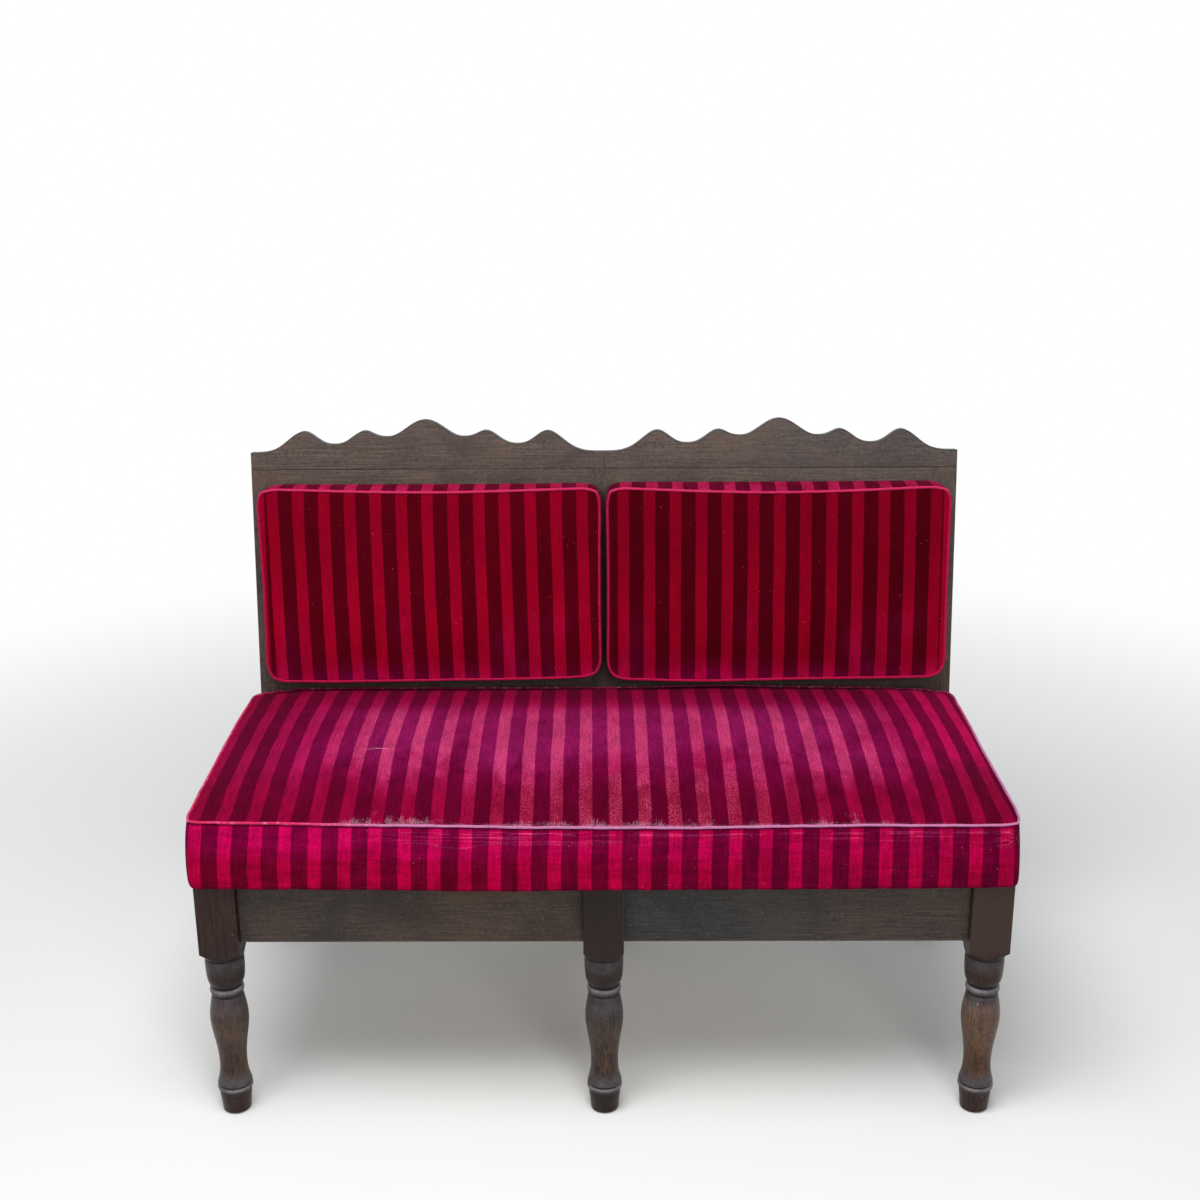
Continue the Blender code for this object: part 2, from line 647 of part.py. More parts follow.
def corner_screws(end, side_name, side, away, corner, apron_x, holders, frame, finish):
    """One screw through the block into the leg or post, and one up into the seat board."""
    block, leg, board = holders
    half_reach = CORNER_BLOCK_REACH / 2
    middle = SEAT_FRAME_HEIGHT - CORNER_BLOCK_HEIGHT / 2
    seat = (side * (corner[0] - half_reach), corner[1] + away * half_reach, middle)
    length = CORNER_BLOCK_REACH / math.sqrt(2) + SCREW_IN_LEG
    screw(f"{end}_corner_screw_{side_name}", seat, (side, -away, 0.0), length, frame, finish, (block, leg))
    bottom = middle - CORNER_BLOCK_HEIGHT / 2
    seat = (side * (apron_x - SEAT_SCREW_INSET), corner[1] + away * SEAT_SCREW_REACH, bottom)
    length = CORNER_BLOCK_HEIGHT + COVER_THICKNESS + 2 * GAP + SCREW_IN_BOARD_SHARE * SEAT_BOARD_THICKNESS
    screw(f"{end}_seat_screw_{side_name}", seat, (0.0, 0.0, 1.0), length, frame, finish, (block, board))


def seat_frame(frame, wood):
    """Legs, posts, aprons and the rail across the middle, joined by mortise and tenon."""
    leg_x = HALF_WIDTH - LEG_BLOCK / 2
    legs = {
        "left": front_leg("front_leg_left", -leg_x, frame, wood),
        "centre": front_leg("front_leg_centre", 0.0, frame, wood),
        "right": front_leg("front_leg_right", leg_x, frame, wood),
    }
    post_x = HALF_WIDTH - END_POST_WIDTH / 2
    posts = {
        "left": rear_post("rear_post_left", -post_x, END_POST_WIDTH, frame, wood),
        "centre": rear_post("rear_post_centre", 0.0, CENTRE_POST_WIDTH, frame, wood),
        "right": rear_post("rear_post_right", post_x, END_POST_WIDTH, frame, wood),
    }
    leg_inner, post_inner = HALF_WIDTH - LEG_BLOCK, HALF_WIDTH - END_POST_WIDTH
    front = (APRON_RECESS, APRON_RECESS + APRON_THICKNESS)
    rear = (REAR_APRON_FRONT, REAR_APRON_FRONT + APRON_THICKNESS)
    top = SEAT_FRAME_HEIGHT
    for name, side in SIDES.items():
        span = sorted((side * LEG_BLOCK / 2, side * leg_inner))
        ends = [legs["centre"], legs[name]][::side]
        low, high = (span[0], front[0], APRON_BOTTOM), (span[1], front[1], top)
        joined_rail(f"front_apron_{name}", low, high, 0, ends, LEG_TENON_LENGTH, frame, wood)
        span = sorted((side * CENTRE_POST_WIDTH / 2, side * post_inner))
        ends = [posts["centre"], posts[name]][::side]
        low, high = (span[0], rear[0], APRON_BOTTOM), (span[1], rear[1], top)
        joined_rail(f"rear_apron_{name}", low, high, 0, ends, REAR_TENON_LENGTH, frame, wood)
        outside = HALF_WIDTH - APRON_RECESS
        span = sorted((side * outside, side * (outside - APRON_THICKNESS)))
        ends = [legs[name], posts[name]]
        low, high = (span[0], LEG_BLOCK, APRON_BOTTOM), (span[1], SEAT_FRAME_DEPTH, top)
        joined_rail(f"side_apron_{name}", low, high, 1, ends, POST_TENON_LENGTH, frame, wood)
    half = CROSS_RAIL_THICKNESS / 2
    ends = [legs["centre"], posts["centre"]]
    low, high = (-half, LEG_BLOCK, top - CROSS_RAIL_HEIGHT), (half, SEAT_FRAME_DEPTH, top)
    joined_rail("centre_cross_rail", low, high, 1, ends, POST_TENON_LENGTH, frame, wood)
    return legs, posts


def back_frame(back, wood, dowel_wood, posts):
    """Rails between the stiles and the crest board on top of them."""
    rails = {}
    levels = {"top": (TOP_RAIL_START, STILE_LENGTH), "bottom": (BOTTOM_RAIL_START, BOTTOM_RAIL_TOP)}
    for name, side in SIDES.items():
        span = sorted((side * CENTRE_POST_WIDTH / 2, side * (HALF_WIDTH - END_POST_WIDTH)))
        ends = [posts["centre"], posts[name]][::side]
        for level, (bottom, top) in levels.items():
            low, high = (span[0], 0.0, bottom), (span[1], BACK_RAIL_THICKNESS, top)
            label = f"back_{level}_rail_{name}"
            made = joined_rail(
                label, low, high, 0, ends, POST_TENON_LENGTH, back, wood, shoulder=BACK_TENON_SHOULDER
            )
            rails[level, name] = made
    crest = crest_board(back, wood)
    post_x = HALF_WIDTH - END_POST_WIDTH / 2
    for name, x in (("left", -post_x), ("centre", 0.0), ("right", post_x)):
        dowel(f"crest_dowel_{name}", x, back, dowel_wood, (posts[name], crest))
    return rails


def upholster(cushion, place, finishes):
    """Board, foam, cover and piping of one cushion, standing on place."""
    board = cushion.add_board(place, finishes["plywood"])
    cushion.add_foam(place, finishes["foam"])
    cushion.add_cover(place, finishes["velvet"])
    cushion.add_piping(place, finishes["piping"])
    return board


def add_seat(frame, finishes):
    place = make_empty("seat_place", (0.0, SEAT_MIDDLE, SEAT_BASE), parent=frame)
    radii = [SEAT_REAR_CORNER_RADIUS] * 2 + [SEAT_FRONT_CORNER_RADIUS] * 2
    cushion = Cushion(
        "seat",
        SEAT_WIDTH,
        SEAT_DEPTH,
        radii,
        SEAT_SEAM_HEIGHT,
        SEAT_BASE_OUTSET,
        SEAT_BULGE,
        SEAT_CROWN,
        SEAT_BOARD_THICKNESS,
    )
    return upholster(cushion, place, finishes)


def add_pad(name, side, back, finishes, rails):
    """A pad on the front of the back rails, held by screws from behind."""
    x = side * (PAD_SPACING + PAD_WIDTH) / 2
    turned_forward = (math.pi / 2, 0.0, 0.0)
    place = make_empty(f"pad_place_{name}", (x, -GAP, (PAD_BOTTOM + PAD_TOP) / 2), turned_forward, back)
    radii = [PAD_TOP_CORNER_RADIUS] * 2 + [PAD_BOTTOM_CORNER_RADIUS] * 2
    cushion = Cushion(
        f"back_pad_{name}",
        PAD_WIDTH,
        PAD_HEIGHT,
        radii,
        PAD_SEAM_HEIGHT,
        PAD_BASE_OUTSET,
        PAD_BULGE,
        PAD_CROWN,
        PAD_BOARD_THICKNESS,
    )
    board = upholster(cushion, place, finishes)
    length = BACK_RAIL_THICKNESS + COVER_THICKNESS + 2 * GAP + SCREW_IN_BOARD_SHARE * PAD_BOARD_THICKNESS
    rises = {"top": (TOP_RAIL_START + PAD_TOP) / 2, "bottom": (PAD_BOTTOM + BOTTOM_RAIL_TOP) / 2}
    half_spacing = PAD_WIDTH / 2 - PAD_SCREW_END_ROOM
    for level, rise in rises.items():
        for end, offset in (("outer", side * half_spacing), ("inner", -side * half_spacing)):
            seat = (x + offset, BACK_RAIL_THICKNESS, rise)
            holders = (rails[level, name], board)
            label = f"pad_screw_{name}_{level}_{end}"
            screw(label, seat, (0.0, -1.0, 0.0), length, back, finishes["steel"], holders)


def add_corner_blocks(frame, finishes, legs, posts, board):
    side_apron_inner = HALF_WIDTH - APRON_RECESS - APRON_THICKNESS
    ends = {
        "front": (1, (HALF_WIDTH - LEG_BLOCK, LEG_BLOCK), APRON_RECESS + APRON_THICKNESS, legs),
        "rear": (-1, (HALF_WIDTH - END_POST_WIDTH, SEAT_FRAME_DEPTH), REAR_APRON_FRONT, posts),
    }
    for end, (away, corner, apron_y, uprights) in ends.items():
        aprons = (side_apron_inner, apron_y)
        for name, side in SIDES.items():
            label = f"{end}_corner_block_{name}"
            block = corner_block(label, side, away, corner, aprons, frame, finishes["block_wood"])
            holders = (block, uprights[name], board)
            corner_screws(end, name, side, away, corner, side_apron_inner, holders, frame, finishes["steel"])


def main():
    clear_scene()
    finishes = {
        "wood": make_material("dark_stained_wood", (0.050, 0.030, 0.022), 0.38),
        "dowel_wood": make_material("dowel_wood", (0.45, 0.30, 0.17), 0.65),
        "block_wood": make_material("block_wood", (0.30, 0.19, 0.10), 0.70),
        "plywood": make_material("plywood", (0.42, 0.30, 0.18), 0.70),
        "foam": make_material("foam", (0.75, 0.68, 0.45), 0.90),
        "velvet": make_material("crimson_striped_velvet", (0.30, 0.004, 0.035), 0.75),
        "piping": make_material("pink_piping", (0.52, 0.10, 0.28), 0.70),
        "steel": make_material("screw_steel", (0.50, 0.50, 0.50), 0.35, 1.0),
    }
    frame = make_empty("bench_frame", (0.0, FRAME_SHIFT, 0.0))
    back = make_empty("raked_back", (0.0, SEAT_FRAME_DEPTH, BEND_HEIGHT), (-RAKE, 0.0, 0.0), frame)
    legs, posts = seat_frame(frame, finishes["wood"])
    rails = back_frame(back, finishes["wood"], finishes["dowel_wood"], posts)
    board = add_seat(frame, finishes)
    for name, side in SIDES.items():
        add_pad(name, side, back, finishes, rails)
    add_corner_blocks(frame, finishes, legs, posts, board)


main()
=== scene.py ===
"""Looks of an upholstered bench: turned front legs, raked back with a scalloped crest, striped velvet cushions."""

import math

import bmesh
import bpy
import numpy as np
from mathutils import Matrix, Vector


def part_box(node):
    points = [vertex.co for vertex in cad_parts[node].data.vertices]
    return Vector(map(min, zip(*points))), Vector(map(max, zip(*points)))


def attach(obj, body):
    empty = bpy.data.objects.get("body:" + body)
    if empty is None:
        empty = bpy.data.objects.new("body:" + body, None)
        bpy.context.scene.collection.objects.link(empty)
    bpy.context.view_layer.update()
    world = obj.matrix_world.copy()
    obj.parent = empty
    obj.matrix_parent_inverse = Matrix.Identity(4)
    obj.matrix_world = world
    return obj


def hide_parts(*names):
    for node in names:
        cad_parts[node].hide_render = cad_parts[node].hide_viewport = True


bl_info = {
    "name": "Upholstered bench",
    "version": (1, 0, 0),
    "blender": (4, 5, 0),
    "location": "3D View > Sidebar > Bench",
    "description": "Dresses the bench's frame with stained wood and striped velvet cushions",
    "category": "Object",
}

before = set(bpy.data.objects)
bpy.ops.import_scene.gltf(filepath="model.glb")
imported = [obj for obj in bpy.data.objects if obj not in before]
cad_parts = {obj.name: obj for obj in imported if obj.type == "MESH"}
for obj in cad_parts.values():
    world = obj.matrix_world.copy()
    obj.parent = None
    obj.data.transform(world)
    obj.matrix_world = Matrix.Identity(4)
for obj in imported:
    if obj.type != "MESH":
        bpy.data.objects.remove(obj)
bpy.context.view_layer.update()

# Places taken from the frame
SEAT_TOP_OF_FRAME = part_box("front_leg_left")[1].z
LEG_LOW, LEG_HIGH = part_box("front_leg_centre")
LEG_BLOCK = LEG_HIGH.x - LEG_LOW.x
LEG_MIDDLE_Y = (LEG_LOW.y + LEG_HIGH.y) / 2
HALF_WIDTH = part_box("rear_post_right")[1].x
APRON_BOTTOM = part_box("front_apron_left")[0].z
BEND_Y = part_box("rear_post_right")[0].y
BEND_Z = SEAT_TOP_OF_FRAME + 0.0435
RAKE = math.radians(8.0)
STILE_LENGTH = 0.4144
JOINT_GAP = 0.0003
SIDES = {"left": -1, "right": 1}
CLOTH_STIFFNESS = 40.0

# Turning of a leg: height over the floor and radius
TURNING = (
    (0.0000, 0.0176), (0.0004, 0.0180), (0.0020, 0.0202), (0.0090, 0.0209), (0.0180, 0.0217), (0.0270, 0.0228),
    (0.0325, 0.0229), (0.0337, 0.0225), (0.0345, 0.0226), (0.0354, 0.0240), (0.0372, 0.0251), (0.0394, 0.0256),
    (0.0412, 0.0252), (0.0428, 0.0241), (0.0438, 0.0228), (0.0445, 0.0225), (0.0452, 0.0229), (0.0460, 0.0246),
    (0.0470, 0.0249), (0.0500, 0.0241), (0.0540, 0.0229), (0.0590, 0.0217), (0.0650, 0.0207), (0.0720, 0.0200),
    (0.0810, 0.0197), (0.0900, 0.0199), (0.1000, 0.0207), (0.1100, 0.0219), (0.1200, 0.0234), (0.1290, 0.0249),
    (0.1370, 0.0261), (0.1440, 0.0270), (0.1510, 0.0274), (0.1560, 0.0275), (0.1630, 0.0272), (0.1700, 0.0265),
    (0.1770, 0.0254), (0.1830, 0.0243), (0.1885, 0.0233), (0.1925, 0.0226), (0.1948, 0.0221), (0.1956, 0.0224),
    (0.1970, 0.0233), (0.1990, 0.0240), (0.2012, 0.0243), (0.2034, 0.0240), (0.2052, 0.0233), (0.2064, 0.0223),
    (0.2068, 0.0217), (0.2090, 0.0215), (0.2112, 0.0217), (0.2120, 0.0236), (0.2150, 0.0252), (0.2200, 0.0264),
    (0.2260, 0.0272), (0.2350, 0.0277), (0.2450, 0.0279), (0.2500, 0.0278), (0.2540, 0.0272), (0.2562, 0.0262),
)
CREST_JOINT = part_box("crest_board")[0].z
SHOULDER_BOTTOM = 0.2572
SHOULDER_HEIGHT = 0.0125
SHOULDER_RADIUS = 0.0285

# Turns of the crest's outline within half a bay: share of the way out, height over the board's lower edge, power
CREST_TURNS = (
    (0.000, 0.0812, 1.00),
    (0.211, 0.0542, 0.95),
    (0.342, 0.0638, 1.50),
    (0.521, 0.0423, 1.25),
    (0.690, 0.0630, 1.25),
    (1.000, 0.0292, 1.75),
)


# ---------------------------------------------------------------- settings


class BenchFrameSizes(bpy.types.PropertyGroup):
    """Sizes of the wooden frame."""

    edge_ease: bpy.props.FloatProperty(
        name="Edge ease", description="Rounding of the long edges of rails and posts", default=0.0011, unit="LENGTH"
    )
    joint_ease: bpy.props.FloatProperty(
        name="Joint ease", description="Rounding at the joints", default=0.0004, unit="LENGTH"
    )
    rail_thickness: bpy.props.FloatProperty(
        name="Rail thickness", description="Thickness of aprons and back rails", default=0.022, unit="LENGTH"
    )
    crest_thickness: bpy.props.FloatProperty(
        name="Crest thickness", description="Thickness of the crest board", default=0.024, unit="LENGTH"
    )
    crest_columns: bpy.props.IntProperty(
        name="Crest columns", description="Steps along the crest's outline", default=420
    )
    leg_sides: bpy.props.IntProperty(name="Leg sides", description="Faces around a turned leg", default=80)


class BenchCushionSizes(bpy.types.PropertyGroup):
    """Sizes of the cushions."""

    net_step: bpy.props.FloatProperty(
        name="Net step", description="Spacing of the cloth's net before it is refined", default=0.0066, unit="LENGTH"
    )
    piping_radius: bpy.props.FloatProperty(
        name="Piping radius", description="Half the thickness of the seat's piping", default=0.0018, unit="LENGTH"
    )
    pad_piping_radius: bpy.props.FloatProperty(
        name="Pad piping radius", description="Half the thickness of the pads' piping", default=0.0022, unit="LENGTH"
    )
    seat_crown: bpy.props.FloatProperty(
        name="Seat crown", description="Rise of the seat over its seam", default=0.0215, unit="LENGTH"
    )
    pad_crown: bpy.props.FloatProperty(
        name="Pad crown", description="Swell of a back pad over its seam", default=0.0075, unit="LENGTH"
    )
    pressure: bpy.props.FloatProperty(name="Filling", description="Pressure of the filling", default=4.0)
    stripe_repeat: bpy.props.FloatProperty(
        name="Stripe repeat", description="Width of a bright and a dark stripe", default=0.0411, unit="LENGTH"
    )


class BenchColours(bpy.types.PropertyGroup):
    """Main colours, in linear values."""

    pad_bright: bpy.props.FloatVectorProperty(
        name="Pad bright stripe", description="Bright stripe of the pads", default=(0.268, 0.0004, 0.0138),
        subtype="COLOR",
    )
    pad_dark: bpy.props.FloatVectorProperty(
        name="Pad dark stripe", description="Dark stripe of the pads", default=(0.072, 0.0002, 0.0042), subtype="COLOR"
    )
    boxing_bright: bpy.props.FloatVectorProperty(
        name="Boxing bright stripe", description="Bright stripe of the seat's boxing", default=(0.360, 0.0005, 0.035),
        subtype="COLOR",
    )
    boxing_dark: bpy.props.FloatVectorProperty(
        name="Boxing dark stripe", description="Dark stripe of the seat's boxing", default=(0.120, 0.0003, 0.0150),
        subtype="COLOR",
    )
    seat_bright: bpy.props.FloatVectorProperty(
        name="Seat bright stripe", description="Bright stripe of the seat's top", default=(0.210, 0.0009, 0.026),
        subtype="COLOR",
    )
    seat_dark: bpy.props.FloatVectorProperty(
        name="Seat dark stripe", description="Dark stripe of the seat's top", default=(0.088, 0.0002, 0.0140),
        subtype="COLOR",
    )
    back_wood: bpy.props.FloatVectorProperty(
        name="Back wood", description="Stain of the back", default=(0.069, 0.051, 0.043), subtype="COLOR"
    )
    base_wood: bpy.props.FloatVectorProperty(
        name="Apron wood", description="Stain of the aprons", default=(0.044, 0.034, 0.029), subtype="COLOR"
    )
    leg_wood: bpy.props.FloatVectorProperty(
        name="Leg wood", description="Stain of the turned legs", default=(0.0235, 0.0125, 0.0100), subtype="COLOR"
    )


class BenchStageSettings(bpy.types.PropertyGroup):
    """Light and floor."""

    sky: bpy.props.FloatProperty(name="Sky", description="Strength of the light from all around", default=0.40)
    lamp: bpy.props.FloatProperty(
        name="Overhead lamp", description="Power of the wide lamp overhead", default=76.0, unit="POWER"
    )
    fill: bpy.props.FloatProperty(
        name="Front lamp", description="Power of the wide lamp in front", default=27.0, unit="POWER"
    )
    floor: bpy.props.FloatVectorProperty(
        name="Floor", description="Colour of the floor", default=(0.86, 0.86, 0.85), subtype="COLOR"
    )


# ---------------------------------------------------------------- ways of working


def clear_selection():
    if bpy.context.object and bpy.context.object.mode != "OBJECT":
        bpy.ops.object.mode_set(mode="OBJECT")
    bpy.ops.object.select_all(action="DESELECT")


def take(piece):
    """Makes one piece the selected and active one."""
    clear_selection()
    piece.select_set(True)
    bpy.context.view_layer.objects.active = piece


def started(name, material):
    """Names the piece that was just made and gives it its material."""
    piece = bpy.context.object
    piece.name = piece.data.name = name
    piece.data.materials.clear()
    piece.data.materials.append(material)
    return piece


def settle(piece):
    """Moves a piece's place, turn and size into its mesh."""
    take(piece)
    bpy.ops.object.transform_apply(location=True, rotation=True, scale=True)


def ease(piece, test, offset, segments=1):
    """In edit mode, bevels the edges for which test(middle, direction) holds."""
    bpy.ops.mesh.select_mode(type="EDGE")
    bpy.ops.mesh.select_all(action="DESELECT")
    net = bmesh.from_edit_mesh(piece.data)
    for edge in net.edges:
        low, high = edge.verts[0].co, edge.verts[1].co
        if test((low + high) / 2, (high - low).normalized()):
            edge.select_set(True)
    bmesh.update_edit_mesh(piece.data)
    bpy.ops.mesh.bevel(offset=offset, segments=segments, affect="EDGES")


def shade(piece, degrees=32.0):
    take(piece)
    bpy.ops.object.shade_smooth_by_angle(angle=math.radians(degrees))


def copied(piece, name, offset=(0.0, 0.0, 0.0)):
    """A copy with its own mesh, moved within the mesh."""
    take(piece)
    bpy.ops.object.duplicate()
    made = bpy.context.object
    made.name = made.data.name = name
    made.data.transform(Matrix.Translation(offset))
    return made


def applied(piece, kind, **values):
    """Adds a modifier, sets it and applies it."""
    take(piece)
    step = piece.modifiers.new("step", kind)
    for key, value in values.items():
        setattr(step, key, value)
    bpy.ops.object.modifier_apply(modifier=step.name)


def seat_on_frame(piece, slot, *nodes):
    """Fixes a piece to the bench and lets it stand for its CAD nodes."""
    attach(piece, "root")
    if nodes:
        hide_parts(*nodes)


def on_back(depth, rise):
    """Place across and up the raked back: depth behind its front face, rise over the bend."""
    return (
        BEND_Y + depth * math.cos(RAKE) + rise * math.sin(RAKE),
        BEND_Z + rise * math.cos(RAKE) - depth * math.sin(RAKE),
    )


def block(name, finish_name, middle, size, turn=0.0):
    """A block round its middle, turned about the x axis."""
    clear_selection()
    bpy.ops.mesh.primitive_cube_add(size=1.0, location=middle, rotation=(turn, 0.0, 0.0), scale=size)
    piece = started(name, finish(finish_name))
    settle(piece)
    return piece


def turned(name, finish_name, sides, profile, y=0.0):
    """A closed solid turned about an upright axis, ring by ring of height and radius."""
    height, radius = profile[0]
    clear_selection()
    bpy.ops.mesh.primitive_circle_add(vertices=sides, radius=radius, fill_type="NGON", location=(0.0, y, height))
    piece = started(name, finish(finish_name))
    settle(piece)
    bpy.ops.object.mode_set(mode="EDIT")
    bpy.ops.mesh.select_all(action="SELECT")
    for next_height, next_radius in profile[1:]:
        bpy.ops.mesh.extrude_region_move(TRANSFORM_OT_translate={"value": (0.0, 0.0, next_height - height)})
        ratio = next_radius / radius
        bpy.ops.transform.resize(value=(ratio, ratio, 1.0), center_override=(0.0, y, next_height))
        height, radius = next_height, next_radius
    bpy.ops.mesh.select_all(action="SELECT")
    bpy.ops.mesh.normals_make_consistent(inside=False)
    bpy.ops.object.mode_set(mode="OBJECT")
    return piece


def plank(name, low, high, finish_name, raked=False):
    """A sawn board between two corners, its long edges eased and its ends cut cleanly."""
    sizes = bpy.context.scene.bench_frame
    low, high = Vector(low), Vector(high)
    middle, span = (low + high) / 2, high - low
    turn = 0.0
    if raked:
        # the corners are given as x, depth behind the front face and rise over the bend
        middle.y, middle.z = on_back(middle.y, middle.z)
        turn = -RAKE
    piece = block(name, finish_name, middle, span, turn)
    longest = max(range(3), key=lambda axis: span[axis])
    lengthwise = Vector([1.0 if axis == longest else 0.0 for axis in range(3)])
    lengthwise.rotate(Matrix.Rotation(turn, 3, "X"))
    bpy.ops.object.mode_set(mode="EDIT")
    ease(piece, lambda at, along: abs(along.dot(lengthwise)) > 0.9, sizes.edge_ease, 3)
    ends = [middle.dot(lengthwise) + sign * span[longest] / 2 for sign in (-1, 1)]
    ease(piece, lambda at, along: min(abs(at.dot(lengthwise) - end) for end in ends) < 1e-5, sizes.joint_ease)
    bpy.ops.object.mode_set(mode="OBJECT")
    shade(piece)
    return piece


# ---------------------------------------------------------------- finishes


class Value:
    """A number that a finish works out at each point."""

    def __init__(self, finish, socket):
        self.finish = finish
        self.socket = socket

    def __add__(self, other):
        return self.finish.math("ADD", self, other)

    __radd__ = __add__

    def __sub__(self, other):
        return self.finish.math("SUBTRACT", self, other)

    def __rsub__(self, other):
        return self.finish.math("SUBTRACT", other, self)

    def __mul__(self, other):
        return self.finish.math("MULTIPLY", self, other)

    def __abs__(self):
        return self.finish.math("ABSOLUTE", self)

    def step(self, low, high, new_low=0.0, new_high=1.0):
        """Passes smoothly from new_low to new_high as the number goes from low to high."""
        inputs = {"Value": self, "From Min": low, "From Max": high, "To Min": new_low, "To Max": new_high}
        return self.finish.value("MapRange", inputs, interpolation_type="SMOOTHSTEP")

    def within(self, start, full, fading, gone):
        """1 from full to fading, 0 before start and after gone."""
        return self.step(start, full) * self.step(fading, gone, 1.0, 0.0)

    def around(self, centre, reach, peak=1.0):
        """peak at the centre, falling to 0 at reach to both sides."""
        return abs(self - centre).step(0.0, reach, peak, 0.0)


class Finish:
    """A material put together node by node. base is its colour so far."""

    def __init__(self, name):
        self.material = bpy.data.materials.new(name)
        self.material.use_nodes = True
        self.tree = self.material.node_tree
        self.shader = self.tree.nodes["Principled BSDF"]
        self.place = self.value("TexCoord", output="Object")
        self.base = None

    def node(self, kind, inputs=None, **settings):
        made = self.tree.nodes.new("ShaderNode" + kind)
        for key, value in settings.items():
            setattr(made, key, value)
        for key, value in (inputs or {}).items():
            self.feed(made.inputs[key], value)
        return made

    def value(self, kind, inputs=None, output=0, **settings):
        return Value(self, self.node(kind, inputs, **settings).outputs[output])

    def feed(self, socket, value):
        source = value.socket if isinstance(value, Value) else value
        if isinstance(source, bpy.types.NodeSocket):
            self.tree.links.new(source, socket)
        else:
            socket.default_value = source

    def set(self, **values):
        """Sets shader sockets, with underscores for the spaces of their names."""
        for key, value in values.items():
            self.feed(self.shader.inputs[key.replace("_", " ")], value)

    def math(self, operation, first, second=0.0):
        return self.value("Math", {0: first, 1: second}, operation=operation)

    def split(self, vector):
        outputs = self.node("SeparateXYZ", {0: vector}).outputs
        return [Value(self, outputs[axis]) for axis in range(3)]

    def facing(self):
        """How far the surface faces along x, y and z."""
        return self.split(self.value("NewGeometry", output="Normal"))

    def noise(self, scale, detail, rough, warp=0.0, turn=0.0, source=None):
        """Noise with so many grains to the metre: one number, or one for each axis."""
        scales = scale if isinstance(scale, tuple) else (scale,) * 3
        inputs = {"Vector": source or self.place, "Scale": scales, "Rotation": (turn, 0.0, 0.0)}
        at = self.value("Mapping", inputs)
        inputs = {"Vector": at, "Scale": 1.0, "Detail": detail, "Roughness": rough, "Distortion": warp}
        return self.value("TexNoise", inputs)

    def mix(self, share, first, second, blend="MIX"):
        first, second = [(*colour, 1.0) if isinstance(colour, tuple) else colour for colour in (first, second)]
        return self.value("Mix", {0: share, 6: first, 7: second}, 2, data_type="RGBA", blend_type=blend)

    def tint(self, share, colour, blend="MIX"):
        """Lays a colour over the others where share holds."""
        self.base = self.mix(share, self.base, colour, blend)

    def bump(self, height, distance, strength):
        return self.value("Bump", {"Height": height, "Distance": distance, "Strength": strength})


def tinted(colour, *factors):
    """The colour times one factor, or times one for each channel."""
    factors = factors * 3 if len(factors) == 1 else factors
    return tuple(min(1.0, channel * factor) for channel, factor in zip(colour, factors))


def stain(wood, colour, along, turn=0.0, worn=0.35, warm=1.0, contrast=1.0):
    """Stains open-pored wood dark, with its grain along one axis, and gives its streaks and pores."""
    fibres = {"X": (16.0, 430.0, 430.0), "Y": (430.0, 16.0, 430.0), "Z": (430.0, 430.0, 16.0)}[along]
    figure = tuple(scale * 0.14 for scale in fibres)
    pitted = tuple(scale * (5.0 if scale < 50 else 2.6) for scale in fibres)
    streaks = wood.noise(fibres, 4.0, 0.60, 0.25, turn)
    pores = wood.noise(pitted, 2.0, 0.6, 0.0, turn).step(0.55, 0.68)
    grain = streaks * 0.62 + wood.noise(190.0, 3.0, 0.7) * 0.38
    low = tinted(colour, 1.0 - 0.40 * contrast)
    high = tinted(colour, (1.0 + 0.55 * contrast) * warm, 1.0 + 0.50 * contrast, 1.0 + 0.44 * contrast)
    wood.base = wood.mix(grain.step(0.38, 0.62), low, high)
    wood.tint(wood.noise(figure, 3.0, 0.6, 0.9, turn).step(0.35, 0.68, 0.0, 0.45), colour)
    # cooler and warmer patches of the stain
    cloudy = wood.noise(7.0, 5.0, 0.65)
    wood.tint(cloudy.step(0.34, 0.50, 0.75, 0.0), tinted(colour, 0.62))
    wood.tint(cloudy.step(0.50, 0.68, 0.0, 0.65), tinted(colour, 1.60, 1.34, 1.08))
    wood.tint(pores * 0.50, tinted(colour, 0.32))
    # fine dust, rubbed places and small pale flecks where the stain is gone
    wood.tint(wood.noise(560.0, 2.0, 0.7).step(0.50, 0.66, 0.0, worn), tinted(colour, 2.2, 2.15, 2.1))
    wood.tint(wood.noise(75.0, 5.0, 0.75).step(0.62, 0.72, 0.0, worn), tinted(colour, 2.5, 2.1, 1.8))
    wood.tint(wood.noise(240.0, 1.0, 0.5).step(0.775, 0.81) * 0.55, (0.30, 0.27, 0.24))
    return streaks, pores


def polished(wood, streaks, pores, roughness):
    """Sets the worn polish of the wood and the relief of its grain."""
    dull = streaks.step(0.30, 0.70, roughness - 0.06, roughness + 0.08) + pores * 0.12
    wood.set(Base_Color=wood.base, Roughness=dull, Specular_IOR_Level=0.16)
    wood.set(Normal=wood.bump(streaks * 0.45 - pores * 0.8, 0.0005, 0.45))
    return wood.material


def stained_wood(name, colour, along="X", turn=0.0, worn=0.35, roughness=0.42, marks=None):
    """Sawn and stained board. marks(wood, colour, streaks) adds what only this kind of board shows."""
    wood = Finish(name)
    streaks, pores = stain(wood, colour, along, turn, worn)
    if marks:
        marks(wood, colour, streaks)
    return polished(wood, streaks, pores, roughness)


def post_painted_shade(wood, colour, streaks):
    """The front of the middle post is painted dark between the pads, as painted shade in the narrow gap between them.
    """
    x, _, z = wood.split(wood.place)
    # painted shade on the post's front face between the pads
    deep = abs(x).step(0.010, 0.016, 0.75, 0.0) * z.within(0.500, 0.530, 0.780, 0.808)
    wood.tint(deep * wood.facing()[1].step(-0.6, -0.3, 1.0, 0.0), tinted(colour, 0.10))


